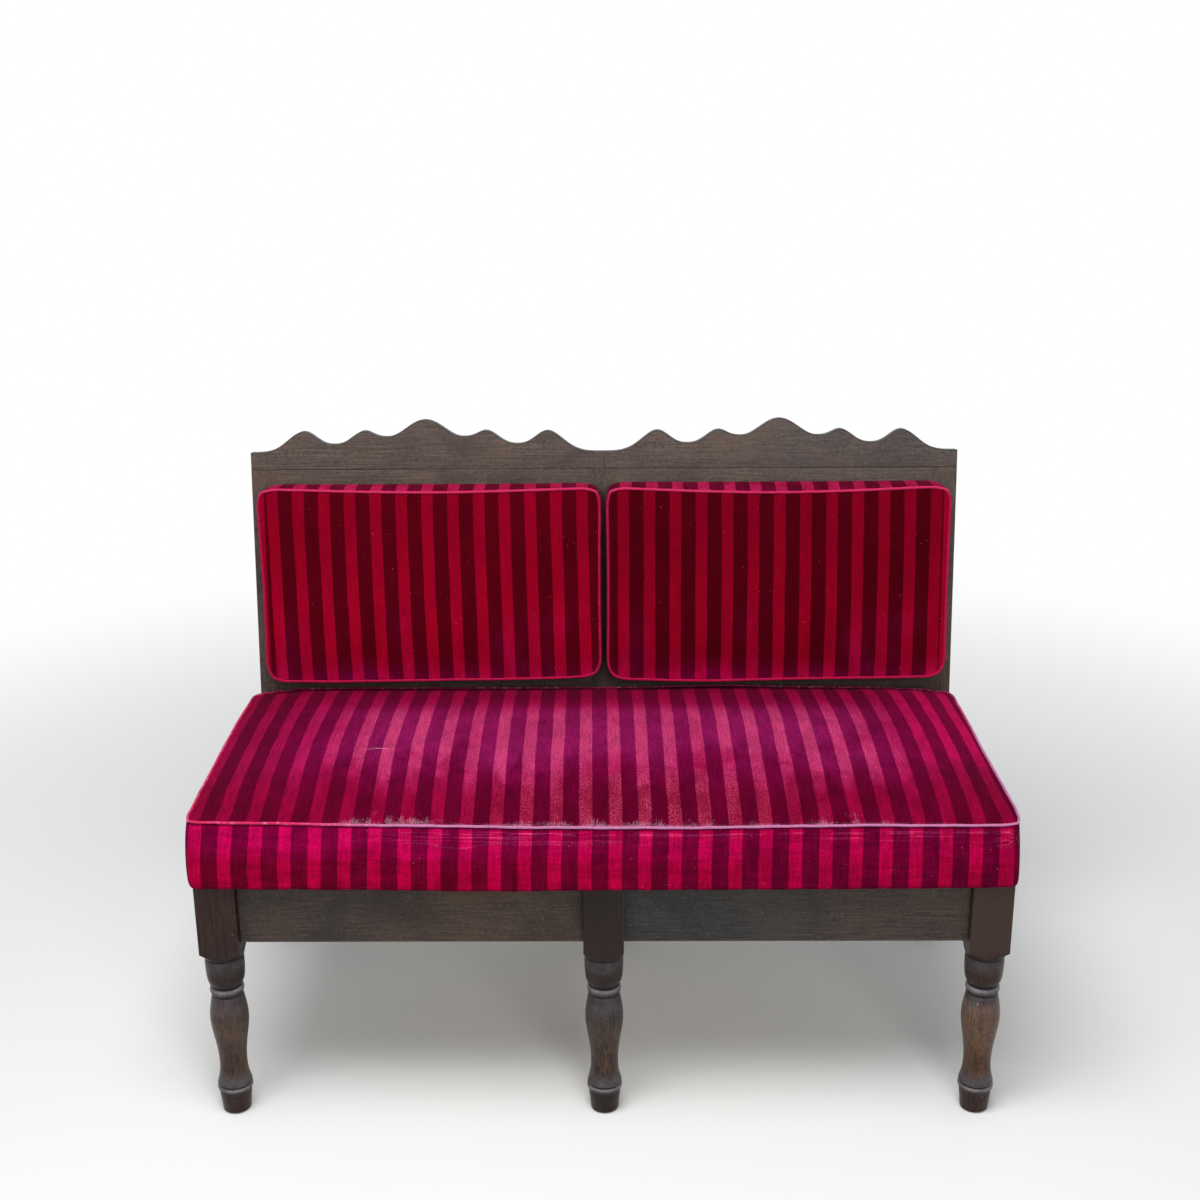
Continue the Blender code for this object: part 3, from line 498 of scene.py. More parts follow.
def crest_marks_and_shade(wood, colour, streaks):
    """The crest has a dark joint below, a fine crack in the middle, painted shade on the upward faces of its rim and a
    cooler right half.
    """
    x, _, z = wood.split(wood.place)
    joint = z.step(CREST_JOINT + 0.0034, CREST_JOINT + 0.0046, 0.9, 0.0) * abs(x).step(0.30, 0.42, 0.45, 1.0)
    bend = wood.noise((1.0, 1.0, 90.0), 2.0, 0.6) * 0.004 - 0.0035
    crack = abs(x + bend).step(0.0004, 0.0012, 0.8, 0.0) * z.step(CREST_JOINT + 0.012, CREST_JOINT + 0.026, 1.0, 0.25)
    wood.tint(wood.math("MAXIMUM", joint, crack), tinted(colour, 0.12))
    # painted shade: the faces of the rim that face up are darkened
    wood.tint(wood.facing()[2].step(0.25, 0.55, 0.0, 0.80), tinted(colour, 0.30))
    wood.tint(x.step(0.05, 0.35, 0.0, 0.70), (0.78, 0.86, 0.98), "MULTIPLY")


def apron_marks(wood, colour, streaks):
    """The front aprons are warmer left of the middle leg and cooler right of it, and all are rubbed below."""
    x, y, z = wood.split(wood.place)
    front = y.step(-0.21, -0.16, 0.8, 0.0)
    wood.tint(x.within(-0.36, -0.16, -0.02, 0.02) * front, (1.26, 1.12, 0.99), "MULTIPLY")
    wood.tint(x.within(-0.02, 0.02, 0.18, 0.36) * front, (0.63, 0.84, 1.00), "MULTIPLY")
    rub = z.step(APRON_BOTTOM + 0.0012, APRON_BOTTOM + 0.0030, 0.8, 0.0) * streaks.step(0.3, 0.6, 0.3, 1.0)
    wood.tint(rub, tinted(colour, 2.3, 1.7, 1.5))


def turned_wood(name, colour):
    """Turned legs: golden where the polish is worn through, painted sheen on what faces up, painted highlights on the
    beads, painted shade in the grooves and on what faces down.
    """
    wood = Finish(name)
    streaks, pores = stain(wood, colour, "Z", 0.0, 0.45, 1.15, 1.25)
    x, _, z = wood.split(wood.place)
    up = wood.facing()[2]
    # the right leg is the most worn, the middle one the darkest
    wood.tint(abs(x).step(0.10, 0.30, 0.55, 0.0), (0.011, 0.0085, 0.0080))
    vase = z.within(0.048, 0.070, 0.175, 0.192)
    # painted sheen: each vase turns paler and bluer towards its top
    wood.tint(vase * z.step(0.085, 0.140, 0.25, 0.90), (1.75, 2.50, 2.90), "MULTIPLY")
    wood.tint(vase * x.step(0.2, 0.5), (1.95, 1.65, 1.22), "MULTIPLY")
    golden = wood.noise((210.0, 210.0, 70.0), 4.0, 0.75) * 0.65 + wood.noise((28.0, 28.0, 16.0), 2.0, 0.6) * 0.35
    belly = z.within(0.046, 0.075, 0.135, 0.190) * x.step(0.2, 0.5, 0.65, 1.0)
    wood.tint(golden.step(0.42, 0.62) * belly * 0.85, (0.125, 0.066, 0.030))
    wood.tint(z.step(0.262, 0.275) * x.step(0.2, 0.5, 0.0, 0.6), (0.048, 0.030, 0.023))
    # painted sheen, with some dust, on the surfaces that face up
    soft = wood.noise(60.0, 4.0, 0.7).step(0.35, 0.65, 0.4, 1.0)
    sheen_and_dust = up.step(0.02, 0.30, 0.0, 0.50) * z.step(0.245, 0.235)
    wood.tint(sheen_and_dust * soft, (0.130, 0.128, 0.145))
    # painted sheen on the upper part of the cup
    cup_top_sheen = z.step(0.228, 0.246, 0.0, 0.34) * z.step(0.2545, 0.2555, 1.0, 0.0)
    wood.tint(cup_top_sheen * soft, (0.105, 0.108, 0.120))
    rim = 0.0010
    # painted highlights on the beads, brightest where they face up
    for low, high in ((0.0352, 0.0436), (0.1968, 0.2062)):
        bead_highlight = z.within(low - rim, low, high, high + rim) * up.step(-0.35, 0.45, 0.10, 0.95)
        wood.tint(bead_highlight * soft, (0.205, 0.180, 0.195))
    # painted shade: what faces the floor is nearly black, and so are the grooves and the step under the block
    wood.tint(up.step(-0.15, -0.55, 0.0, 0.80) * z.step(0.207, 0.211), (0.006, 0.0045, 0.0035))
    wood.tint(up.step(-0.10, -0.30) * z.step(0.2545, 0.2560) * 0.95, (0.003, 0.0025, 0.002))
    for low, high in ((0.0438, 0.0454), (0.1940, 0.1960), (0.2072, 0.2108), (0.2545, 0.2580)):
        wood.tint(z.within(low - rim, low, high, high + rim) * 0.90, (0.004, 0.003, 0.0025))
    return polished(wood, streaks, pores, 0.30)


class Velvet(Finish):
    """Cut velvet with fuzzy woven stripes: u counts the stripes, v runs along them, both in repeats."""

    def __init__(self, name, bright, dark, contrast):
        super().__init__(name)
        repeat = bpy.context.scene.bench_cushions.stripe_repeat
        cloth = self.value("UVMap", uv_map="cloth")
        self.metres = self.value("Mapping", {"Vector": cloth, "Scale": (repeat,) * 3})
        across, along, _ = self.split(cloth)
        self.depth = along * -repeat
        self.at = self.split(self.place)
        # edges of the stripes waver by a thread or two
        waver = self.woven(700.0, 220.0, 2.0, 0.6) * 0.050 + self.woven(14.0, 9.0, 2.0, 0.5) * 0.060
        centred = self.math("FRACT", across - 0.055 + waver + 0.28) - 0.5
        self.lit = abs(centred).step(0.205, 0.240, 1.0, 0.0)
        # pile: grains of two sizes, soft brushed streaks along the stripes, crushed clouds
        self.grain = self.woven(720.0, 540.0, 2.0, 0.8) * 0.45 + self.woven(360.0, 290.0, 3.0, 0.85) * 0.55
        self.brushed = self.woven(360.0, 26.0, 3.0, 0.6, 0.3)
        self.crushed = self.woven(23.0, 13.0, 4.0, 0.62, 0.8)
        self.broad = self.woven(7.0, 6.0, 4.0, 0.6, 0.4)
        self.contrast = contrast
        self.base = self.striped(bright, dark)

    def woven(self, across, along, detail, rough, warp=0.0):
        """Noise with so many grains to the metre across and along the stripes."""
        return self.noise((across, along, 1.0), detail, rough, warp, source=self.metres)

    def striped(self, bright, dark):
        return self.mix(self.lit, dark, bright)

    def lay(self, share, bright, dark):
        """Covers the cloth with another pair of stripe colours where share holds."""
        self.tint(share, self.striped(bright, dark))

    def finished(self, sheen, rise=0.0, tone_by=None):
        shade, speck = 0.13 * self.contrast, 0.22 * self.contrast
        tone = self.brushed.step(0.34, 0.66, 1.0 - shade, 1.0 + shade) + self.grain.step(0.40, 0.60, -speck, speck)
        tone *= self.crushed.step(0.34, 0.66, 1.0 - shade, 1.0 + shade)
        if tone_by is not None:
            tone *= tone_by
        colour = self.mix(1.0, self.base, self.value("CombineXYZ", {0: tone, 1: tone, 2: tone}), "MULTIPLY")
        self.set(Base_Color=colour, Roughness=0.95, Specular_IOR_Level=0.02)
        self.set(Sheen_Weight=sheen, Sheen_Roughness=0.40, Sheen_Tint=(1.0, 0.14, 0.36, 1.0))
        self.set(Normal=self.bump(self.grain * 0.5 + self.brushed * 0.4 + rise, 0.0010, 0.7))
        return self.material


def seat_velvet(name, bright, dark):
    """Top of the seat: the pile is brushed back, with a pale painted sheen over the middle, and worn down behind the
    front piping.
    """
    velvet = Velvet(name, bright, dark, 1.05)
    x, y, _ = velvet.at
    grain, crushed, woven = velvet.grain, velvet.crushed, velvet.woven
    ripple = (velvet.broad - 0.5) * 0.16 + (crushed - 0.5) * 0.08
    from_front, from_rear = y + ripple, y + ripple * 0.45
    # painted sheen: a warm lift over the whole width, then a pale painted haze over the middle
    lift = from_front.step(-0.245, -0.130) * from_rear.step(0.030, 0.150, 1.0, 0.0)
    velvet.lay(lift * abs(x).step(0.42, 0.535, 0.85, 0.25), (0.315, 0.0040, 0.068), (0.124, 0.0005, 0.031))
    # on the bright stripes the painted haze reaches further forward
    far = (from_front + velvet.lit * 0.030).step(-0.225, -0.050) * from_rear.step(0.015, 0.120, 1.0, 0.0)
    sheen_haze = far * abs(x - 0.01).step(0.32, 0.50, 1.0, 0.12) * velvet.broad.step(0.36, 0.58, 0.50, 0.88)
    # the painted haze sits on the tips of the pile, thin at its rim
    tips = (grain + sheen_haze * 0.12).step(0.50, 0.64, 0.25, 1.0)
    velvet.lay(sheen_haze.step(0.02, 0.80) * tips, (0.425, 0.038, 0.130), (0.205, 0.0055, 0.072))
    # painted sheen: pinker glints on the bright stripes in front of the middle
    fore = x.around(0.06, 0.31) * y.step(-0.145, -0.200) * velvet.lit
    fore *= grain.step(0.47, 0.58) * crushed.step(0.34, 0.58, 0.4, 1.0)
    velvet.tint(fore * 0.50, (0.400, 0.085, 0.150))
    # the right end is the brighter one
    end = x.step(0.425, 0.500) * from_front.step(-0.190, -0.080)
    velvet.lay(end * 0.75, (0.420, 0.0030, 0.068), (0.150, 0.0004, 0.030))
    # pale wear in soft clumps of upright threads just behind the front piping, and a thin line along it
    at_ends = velvet.math("MAXIMUM", x.around(-0.285, 0.115), x.around(0.335, 0.085, 0.85))
    where = velvet.math("MAXIMUM", at_ends, x.around(0.02, 0.36, 0.55))
    strength = where * woven(42.0, 30.0, 3.0, 0.7).step(0.40, 0.62, 0.15, 1.0)
    ragged = woven(420.0, 24.0, 2.0, 0.6).step(0.36, 0.66, 0.35, 1.25)
    tall = -0.2960 + strength * ragged * 0.024
    threads = woven(760.0, 420.0, 3.0, 0.9).step(0.47, 0.60, 0.06, 1.0)
    worn = (y - tall).step(-0.012, 0.003, 1.0, 0.0) * strength.step(0.02, 0.50) * threads
    velvet.tint(worn * 0.74, (0.56, 0.270, 0.400))
    along = y.step(-0.2935, -0.2985) * crushed.step(0.42, 0.62, 0.15, 1.0)
    along *= x.around(0.06, 0.52) * grain.step(0.44, 0.56, 0.2, 1.0)
    velvet.tint(along * 0.50, (0.52, 0.220, 0.360))
    # a thin pale scratch across the stripes, left of the middle
    scratch = (y + crushed * 0.012).around(-0.090, 0.0020) * x.around(-0.330, 0.030) * grain.step(0.38, 0.5)
    velvet.tint(scratch * 0.70, (0.60, 0.24, 0.32))
    return velvet.finished(0.05)


def boxing_velvet(name, bright, dark):
    """Boxing of the seat: pinker towards the piping, painted shade under it, painted highlights and shade on the
    creases below it and at the right front corner, painted shade along the hem, and fine scratches.
    """
    velvet = Velvet(name, bright, dark, 1.15)
    x, y, _ = velvet.at
    depth, woven, lay, tint = velvet.depth, velvet.woven, velvet.lay, velvet.tint
    down = depth + (velvet.broad - 0.5) * 0.040
    upper = down.step(0.028, 0.062, 1.0, 0.0)
    lay(upper, (0.460, 0.0012, 0.070), (0.165, 0.0003, 0.034))
    # the right half stands in softer light
    right = x.step(-0.33, 0.40)
    lay(right * upper, (0.345, 0.0008, 0.044), (0.116, 0.0002, 0.0220))
    lay(right * (1.0 - upper), (0.315, 0.0006, 0.034), (0.108, 0.0002, 0.0190))
    # painted shade under the piping, then painted highlights and shade on the creases of the seam allowance
    tint(depth.step(0.0032, 0.0058, 1.0, 0.0) * 0.75, (0.060, 0.0004, 0.014))
    level = woven(9.0, 420.0, 3.0, 0.6, 0.15)
    painted_creases = depth.within(0.0060, 0.0085, 0.0150, 0.0300)
    painted_creases *= velvet.math("MAXIMUM", x.around(-0.10, 0.34), x.around(0.42, 0.22, 0.55))
    lay(painted_creases * level.step(0.52, 0.66) * 0.75, (0.740, 0.052, 0.180), (0.290, 0.022, 0.105))
    lay(painted_creases * level.step(0.47, 0.36) * 0.55, (0.240, 0.0008, 0.040), (0.072, 0.0002, 0.018))
    # painted highlights on folds at the right front corner
    painted_folds = woven(70.0, 210.0, 2.0, 0.5, 0.8).around(0.54, 0.035) * depth.around(0.021, 0.016)
    painted_folds *= x.step(0.525, 0.545) * y.step(-0.285, -0.262, 1.0, 0.0)
    lay(painted_folds * 0.85, (0.800, 0.110, 0.240), (0.360, 0.050, 0.140))
    # painted highlights on the ridge and on a lower crease, which also get a little relief
    ridge = (depth + (velvet.broad - 0.5) * 0.006).around(0.0110, 0.0022)
    ridge *= velvet.crushed.step(0.44, 0.58) * x.step(-0.34, -0.10)
    lay(ridge * 0.50, (0.740, 0.050, 0.165), (0.290, 0.022, 0.095))
    low_crease = down.around(0.026, 0.0018) * x.around(-0.13, 0.26) * velvet.grain.step(0.46, 0.54)
    lay(low_crease * 0.60, (0.740, 0.060, 0.190), (0.290, 0.030, 0.110))
    # painted shade along the hem, where the boxing turns under, then short level scratches and specks
    tint(depth.step(0.0910, 0.0945, 0.0, 0.60), (0.050, 0.0004, 0.010))
    tint(woven(38.0, 620.0, 2.0, 0.5).step(0.745, 0.79, 0.0, 0.55), (0.66, 0.20, 0.32))
    tint(woven(330.0, 330.0, 1.0, 0.5).step(0.765, 0.80, 0.0, 0.4), (0.70, 0.28, 0.38))
    # level bands where the pile lies differently
    bands = woven(14.0, 85.0, 3.0, 0.6).step(0.36, 0.64, 0.86, 1.13)
    return velvet.finished(0.06, ridge * 1.1 + low_crease * 0.6, bands)


def pad_velvet(name, bright, dark, boxing=False):
    """Cover of a back pad: deep crimson, with a painted highlight along the side seams, pinker at the foot, painted
    darker towards the top, the right pad painted darker.
    """
    velvet = Velvet(name, bright, dark, 0.9 if boxing else 0.65)
    x, _, z = velvet.at
    lay, tint = velvet.lay, velvet.tint
    # painted shade: the right pad is darker, as the light falls off to the right
    lay(x.step(-0.02, 0.02) * 0.9, tinted(bright, 0.78), tinted(dark, 0.78))
    if boxing:
        # dust and painted sheen on the top boxing, which faces up
        dust_and_sheen = velvet.crushed.step(0.30, 0.62, 0.35, 1.0) * velvet.grain.step(0.4, 0.6, 0.3, 1.0)
        lay(dust_and_sheen * z.step(0.70, 0.80), (0.34, 0.012, 0.070), (0.108, 0.002, 0.019))
        return velvet.finished(0.07)
    foot = z + (velvet.broad - 0.5) * 0.05
    lay(foot.step(0.500, 0.548, 0.75, 0.0), (0.370, 0.0020, 0.045), (0.118, 0.0004, 0.0230))
    lowest = foot.step(0.498, 0.520, 1.0, 0.0) * velvet.crushed.step(0.36, 0.60, 0.35, 1.0)
    lay(lowest, (0.480, 0.0020, 0.066), (0.150, 0.0004, 0.038))
    mauve = velvet.broad.step(0.52, 0.72) * z.step(0.52, 0.66, 0.5, 0.0)
    lay(mauve, (0.330, 0.0030, 0.050), (0.110, 0.0010, 0.0260))
    # painted highlight where the cloth curves round to the side seams
    tint(abs(x).step(0.5390, 0.5435) * 0.85, (0.300, 0.0008, 0.022))
    tint(velvet.woven(300.0, 300.0, 1.0, 0.5).step(0.775, 0.80, 0.0, 0.5), (0.60, 0.20, 0.25))
    # painted shade and light: darker towards the top and lighter at the foot
    tint(z.step(0.60, 0.81) * velvet.lit * 0.30, dark)
    return velvet.finished(0.05, 0.0, z.step(0.50, 0.80, 1.08, 0.93))


def piping_cloth(name, left, right, low, high, rear=0.0):
    """Covered cord: a plain weave on the bias whose colour fades from one end to the other. rear is how far the
    cord round the seat darkens towards the back. The pads' cords have none."""
    cloth = Finish(name)
    x, y, z = cloth.split(cloth.place)
    ribs = cloth.noise(900.0, 2.0, 0.6)
    wander = (cloth.noise(34.0, 3.0, 0.6) - 0.5) * 0.10
    cloth.base = cloth.mix((x + wander).step(low, high), left, right)
    cloth.tint(y.step(-0.06, 0.11, 0.0, 0.75 * rear), left)
    cloth.tint(y.step(0.135, 0.175, 0.0, rear), tinted(left, 0.38))
    # painted glints: pale spots along the cord, many round the seat and few round the pads
    pale = tuple(0.75 * channel + 0.25 * level for channel, level in zip(right, (0.90, 0.34, 0.52)))
    cloth.tint(cloth.noise(150.0, 2.0, 0.6).step(0.52, 0.66, 0.0, 0.6 if rear else 0.12), pale)
    if not rear:
        # the cords round the pads catch the light along their top run
        cloth.tint(z.step(0.800, 0.806, 0.0, 0.8), (0.60, 0.030, 0.125))
    cloth.tint(ribs.step(0.40, 0.62, 0.0, 0.45), tinted(left, 0.45))
    cloth.set(Base_Color=cloth.base, Roughness=0.75, Specular_IOR_Level=0.08)
    cloth.set(Sheen_Weight=0.10 if rear else 0.03, Sheen_Roughness=0.5, Sheen_Tint=(1.0, 0.35, 0.55, 1.0))
    cloth.set(Normal=cloth.bump(ribs, 0.0005, 0.6))
    return cloth.material


def raw_wood(name, light, dark, scales):
    """Unstained wood of hidden parts."""
    wood = Finish(name)
    streaks = wood.noise(scales, 4.0, 0.65, 0.4)
    wood.base = wood.mix(streaks.step(0.32, 0.70), dark, light)
    wood.tint(wood.noise(14.0, 3.0, 0.6).step(0.4, 0.7, 0.0, 0.4), dark)
    wood.set(Base_Color=wood.base, Roughness=streaks.step(0.3, 0.7, 0.62, 0.78))
    wood.set(Normal=wood.bump(streaks, 0.0005, 0.5))
    return wood.material


def screw_steel(name):
    steel = Finish(name)
    marks = steel.noise(500.0, 3.0, 0.6)
    base = steel.mix(marks.step(0.35, 0.7), (0.30, 0.28, 0.25), (0.52, 0.50, 0.46))
    steel.set(Base_Color=base, Metallic=1.0, Roughness=marks.step(0.3, 0.7, 0.32, 0.5))
    return steel.material


def finish(name):
    """The finish of that name, made when it is first asked for."""
    found = bpy.data.materials.get(name)
    if found:
        return found
    colours = {key: tuple(getattr(bpy.context.scene.bench_colours, key)) for key in BenchColours.__annotations__}
    back, base = colours["back_wood"], colours["base_wood"]
    pads = colours["pad_bright"], colours["pad_dark"]
    makers = {
        "back_wood_level": lambda: stained_wood(name, back),
        "crest_wood": lambda: stained_wood(name, back, marks=crest_marks_and_shade),
        "back_wood_upright": lambda: stained_wood(name, back, "Z", RAKE, marks=post_painted_shade),
        "base_wood_level": lambda: stained_wood(name, base, worn=0.30, roughness=0.48, marks=apron_marks),
        "base_wood_cross": lambda: stained_wood(name, base, "Y", worn=0.20, roughness=0.50),
        "leg_wood": lambda: turned_wood(name, colours["leg_wood"]),
        "pad_velvet": lambda: pad_velvet(name, *pads),
        "pad_boxing_velvet": lambda: pad_velvet(name, *pads, boxing=True),
        "seat_velvet": lambda: seat_velvet(name, colours["seat_bright"], colours["seat_dark"]),
        "boxing_velvet": lambda: boxing_velvet(name, colours["boxing_bright"], colours["boxing_dark"]),
        "seat_piping_cloth": lambda: piping_cloth(name, (0.66, 0.022, 0.110), (0.50, 0.205, 0.40), -0.43, -0.27, 0.85),
        "pad_piping_cloth": lambda: piping_cloth(name, (0.40, 0.003, 0.046), (0.44, 0.004, 0.056), -1.0, 1.0),
        "plywood": lambda: raw_wood(name, (0.50, 0.36, 0.22), (0.34, 0.22, 0.12), (6.0, 90.0, 160.0)),
        "block_wood": lambda: raw_wood(name, (0.42, 0.28, 0.16), (0.26, 0.16, 0.09), (30.0, 30.0, 150.0)),
        "screw_steel": lambda: screw_steel(name),
    }
    return makers[name]()


# ---------------------------------------------------------------- turned legs


class BENCH_OT_front_legs(bpy.types.Operator):
    """Turns one leg, cuts its square block and sets three of them under the seat"""

    bl_idname = "bench.front_legs"
    bl_label = "Front legs"

    def execute(self, context):
        corner_radius = 1.04 * LEG_BLOCK / math.sqrt(2.0)
        profile = list(TURNING)
        for step in range(15):
            share = step / 14
            height = SHOULDER_BOTTOM + (SHOULDER_HEIGHT + 0.0010) * share
            profile.append((height, SHOULDER_RADIUS + (corner_radius - SHOULDER_RADIUS) * share**1.35))
        profile.append((SEAT_TOP_OF_FRAME + 0.010, corner_radius))
        sides = context.scene.bench_frame.leg_sides
        leg = turned("front_leg_turned_centre", "leg_wood", sides, profile, LEG_MIDDLE_Y)
        blank_height = SEAT_TOP_OF_FRAME + 0.10
        middle = (0.0, LEG_MIDDLE_Y, SEAT_TOP_OF_FRAME - blank_height / 2)
        blank = block("leg_blank", "leg_wood", middle, (LEG_BLOCK, LEG_BLOCK, blank_height))
        bpy.ops.object.mode_set(mode="EDIT")
        ease(blank, lambda at, along: abs(along.z) > 0.9, 0.0016, 4)
        ease(blank, lambda at, along: abs(at.z - SEAT_TOP_OF_FRAME) < 1e-5, 0.0006)
        bpy.ops.object.mode_set(mode="OBJECT")
        applied(leg, "BOOLEAN", operation="INTERSECT", object=blank, solver="EXACT")
        bpy.data.objects.remove(blank)
        shade(leg, 28.0)
        legs = {"centre": leg}
        for side, turn in SIDES.items():
            legs[side] = copied(leg, f"front_leg_turned_{side}", (turn * (HALF_WIDTH - LEG_BLOCK / 2), 0.0, 0.0))
        for side, piece in legs.items():
            seat_on_frame(piece, "dark_stained_wood", f"front_leg_{side}")
        return {"FINISHED"}


# ---------------------------------------------------------------- rear posts


class BENCH_OT_rear_posts(bpy.types.Operator):
    """Saws the rear posts: kicked foot, straight stretch and raked stile"""

    bl_idname = "bench.rear_posts"
    bl_label = "Rear posts"

    def execute(self, context):
        sizes = context.scene.bench_frame
        depth, foot_depth, head_depth, kick = 0.042, 0.034, 0.025, 0.016
        kick_height = SEAT_TOP_OF_FRAME - 0.095 - 0.012
        # front and rear corner, across and up, at the foot, the kick, the bend and the head
        rings = [
            ((BEND_Y + kick, 0.0), (BEND_Y + kick + foot_depth, 0.0)),
            ((BEND_Y, kick_height), (BEND_Y + depth, kick_height)),
            ((BEND_Y, BEND_Z), (BEND_Y + depth, BEND_Z - depth * math.tan(RAKE / 2))),
            (on_back(0.0, STILE_LENGTH), on_back(head_depth, STILE_LENGTH)),
        ]
        top_z = rings[-1][0][1]
        for side in ("left", "centre", "right"):
            low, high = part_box(f"rear_post_{side}")
            (front_y, _), (rear_y, _) = rings[0]
            clear_selection()
            bpy.ops.mesh.primitive_plane_add(size=1.0, location=((low.x + high.x) / 2, (front_y + rear_y) / 2, 0.0))
            post = started(f"rear_post_sawn_{side}", finish("back_wood_upright"))
            post.scale = (high.x - low.x, rear_y - front_y, 1.0)
            settle(post)
            bpy.ops.object.mode_set(mode="EDIT")
            bpy.ops.mesh.select_all(action="SELECT")
            for (front, rear), (next_front, next_rear) in zip(rings, rings[1:]):
                rise = Vector((0.0, next_front[0] - front[0], next_front[1] - front[1]))
                bpy.ops.mesh.extrude_region_move(TRANSFORM_OT_translate={"value": tuple(rise)})
                net = bmesh.from_edit_mesh(post.data)
                top = [point for point in net.verts if point.select]
                middle = sum(point.co.y for point in top) / len(top)
                for point in top:
                    if point.co.y > middle:
                        point.co += Vector((0.0, next_rear[0] - rear[0], next_rear[1] - rear[1])) - rise
                net.normal_update()
                bmesh.update_edit_mesh(post.data)
            bpy.ops.mesh.select_all(action="SELECT")
            bpy.ops.mesh.normals_make_consistent(inside=False)
            ease(post, lambda at, along: abs(along.z) > 0.9, sizes.edge_ease, 3)
            ease(
                post,
                lambda at, along: at.z < 1e-5 or (at.z > top_z - 0.02 and abs(along.z) < 0.3),
                sizes.joint_ease,
            )
            bpy.ops.object.mode_set(mode="OBJECT")
            shade(post)
            seat_on_frame(post, "dark_stained_wood", f"rear_post_{side}")
        return {"FINISHED"}


# ---------------------------------------------------------------- aprons and rails


def board(node, low, high, finish_name, raked=False):
    """Saws the board that stands for a CAD node and fixes it to the frame."""
    stem, _, side = node.rpartition("_")
    name = f"{stem}_sawn_{side}" if side in SIDES else f"{node}_sawn"
    seat_on_frame(plank(name, low, high, finish_name, raked), "dark_stained_wood", node)


def between_posts(side, gap):
    """Ends of a board between the middle post and an outer one."""
    posts = sorted([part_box("rear_post_centre"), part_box(f"rear_post_{side}")], key=lambda box: box[0].x)
    return posts[0][1].x + gap, posts[1][0].x - gap


class BENCH_OT_aprons(bpy.types.Operator):
    """Sets the aprons and the cross rail between legs and posts"""

    bl_idname = "bench.aprons"
    bl_label = "Aprons"

    def execute(self, context):
        for side, turn in SIDES.items():
            front = sorted((turn * (LEG_BLOCK / 2 + JOINT_GAP), turn * (HALF_WIDTH - LEG_BLOCK - JOINT_GAP)))
            for place, ends in (("front", front), ("rear", between_posts(side, JOINT_GAP))):
                node = f"{place}_apron_{side}"
                low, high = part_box(node)
                board(node, (ends[0], low.y, low.z), (ends[1], high.y, high.z), "base_wood_level")
            self.crosswise(f"side_apron_{side}")
        self.crosswise("centre_cross_rail")
        return {"FINISHED"}

    def crosswise(self, node):
        """A board from the front legs to the rear posts."""
        low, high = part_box(node)
        board(node, (low.x, LEG_HIGH.y + JOINT_GAP, low.z), (high.x, BEND_Y - JOINT_GAP, high.z), "base_wood_cross")


class BENCH_OT_back_rails(bpy.types.Operator):
    """Sets the top and bottom rails between the stiles of the back"""

    bl_idname = "bench.back_rails"
    bl_label = "Back rails"

    def execute(self, context):
        thickness = context.scene.bench_frame.rail_thickness
        rises = {"top": (STILE_LENGTH - 0.076, STILE_LENGTH), "bottom": (0.030, 0.125)}
        for side in SIDES:
            # each end goes a little way into its post, so that no light shows through the joint
            start, end = between_posts(side, -0.0015)
            for level, (low, high) in rises.items():
                board(f"back_{level}_rail_{side}", (start, 0.0, low), (end, thickness, high), "back_wood_level", True)
        return {"FINISHED"}


# ---------------------------------------------------------------- crest board


def crest_height(x):
    """Height of the crest board over its lower edge. The template was laid on a little to the left."""
    half_bay = HALF_WIDTH / 2
    x += 0.0010 + 0.0018 * min(max((0.05 - x) / 0.25, 0.0), 1.0)
    share = min(abs(abs(x) - half_bay) / half_bay, 1.0)
    for (near, near_height, _), (far, far_height, power) in zip(CREST_TURNS, CREST_TURNS[1:]):
        if share <= far:
            along = (share - near) / (far - near)
            break
    low, high = near_height, far_height
    if near_height > far_height:
        low, high, along = far_height, near_height, 1 - along
    return low + (high - low) * (1 - math.cos(math.pi * along**power)) / 2 - 0.0019


class BENCH_OT_crest_board(bpy.types.Operator):
    """Saws the scalloped crest board and rounds its rim"""

    bl_idname = "bench.crest_board"
    bl_label = "Crest board"

    def execute(self, context):
        sizes = context.scene.bench_frame
        thickness = sizes.crest_thickness
        clear_selection()
        bpy.ops.mesh.primitive_grid_add(x_subdivisions=sizes.crest_columns, y_subdivisions=1, size=1.0)
        crest = started("crest_board_sawn", finish("crest_wood"))
        crest.scale = (2 * HALF_WIDTH, 0.01, 1.0)
        settle(crest)
        bpy.ops.object.mode_set(mode="EDIT")
        # the upper row of points is lifted to the outline, column by column of equal height
        net = bmesh.from_edit_mesh(crest.data)
        for point in net.verts:
            point.co.y = crest_height(point.co.x) if point.co.y > 0 else 0.0
        bmesh.update_edit_mesh(crest.data)
        bpy.ops.mesh.select_all(action="SELECT")
        bpy.ops.mesh.extrude_region_move(TRANSFORM_OT_translate={"value": (0.0, 0.0, -thickness)})
        bpy.ops.mesh.select_all(action="SELECT")
        bpy.ops.mesh.normals_make_consistent(inside=False)

        def on_upper_rim(at, along):
            outside = abs(abs(at.x) - HALF_WIDTH) < 1e-5 or at.y > 0.9 * crest_height(at.x)
            on_face = abs(at.z) < 1e-6 or abs(at.z + thickness) < 1e-6
            return outside and on_face and abs(along.z) < 0.5 and abs(at.y) > 1e-6

        ease(crest, on_upper_rim, 0.0017, 3)
        bpy.ops.object.mode_set(mode="OBJECT")
        # stands the board up and leans it with the back
        y, z = on_back(0.0, STILE_LENGTH + JOINT_GAP)
        crest.data.transform(Matrix.Translation((0.0, y, z)) @ Matrix.Rotation(math.pi / 2 - RAKE, 4, "X"))
        shade(crest, 40.0)
        seat_on_frame(crest, "dark_stained_wood", "crest_board")
        return {"FINISHED"}


# ---------------------------------------------------------------- cushions


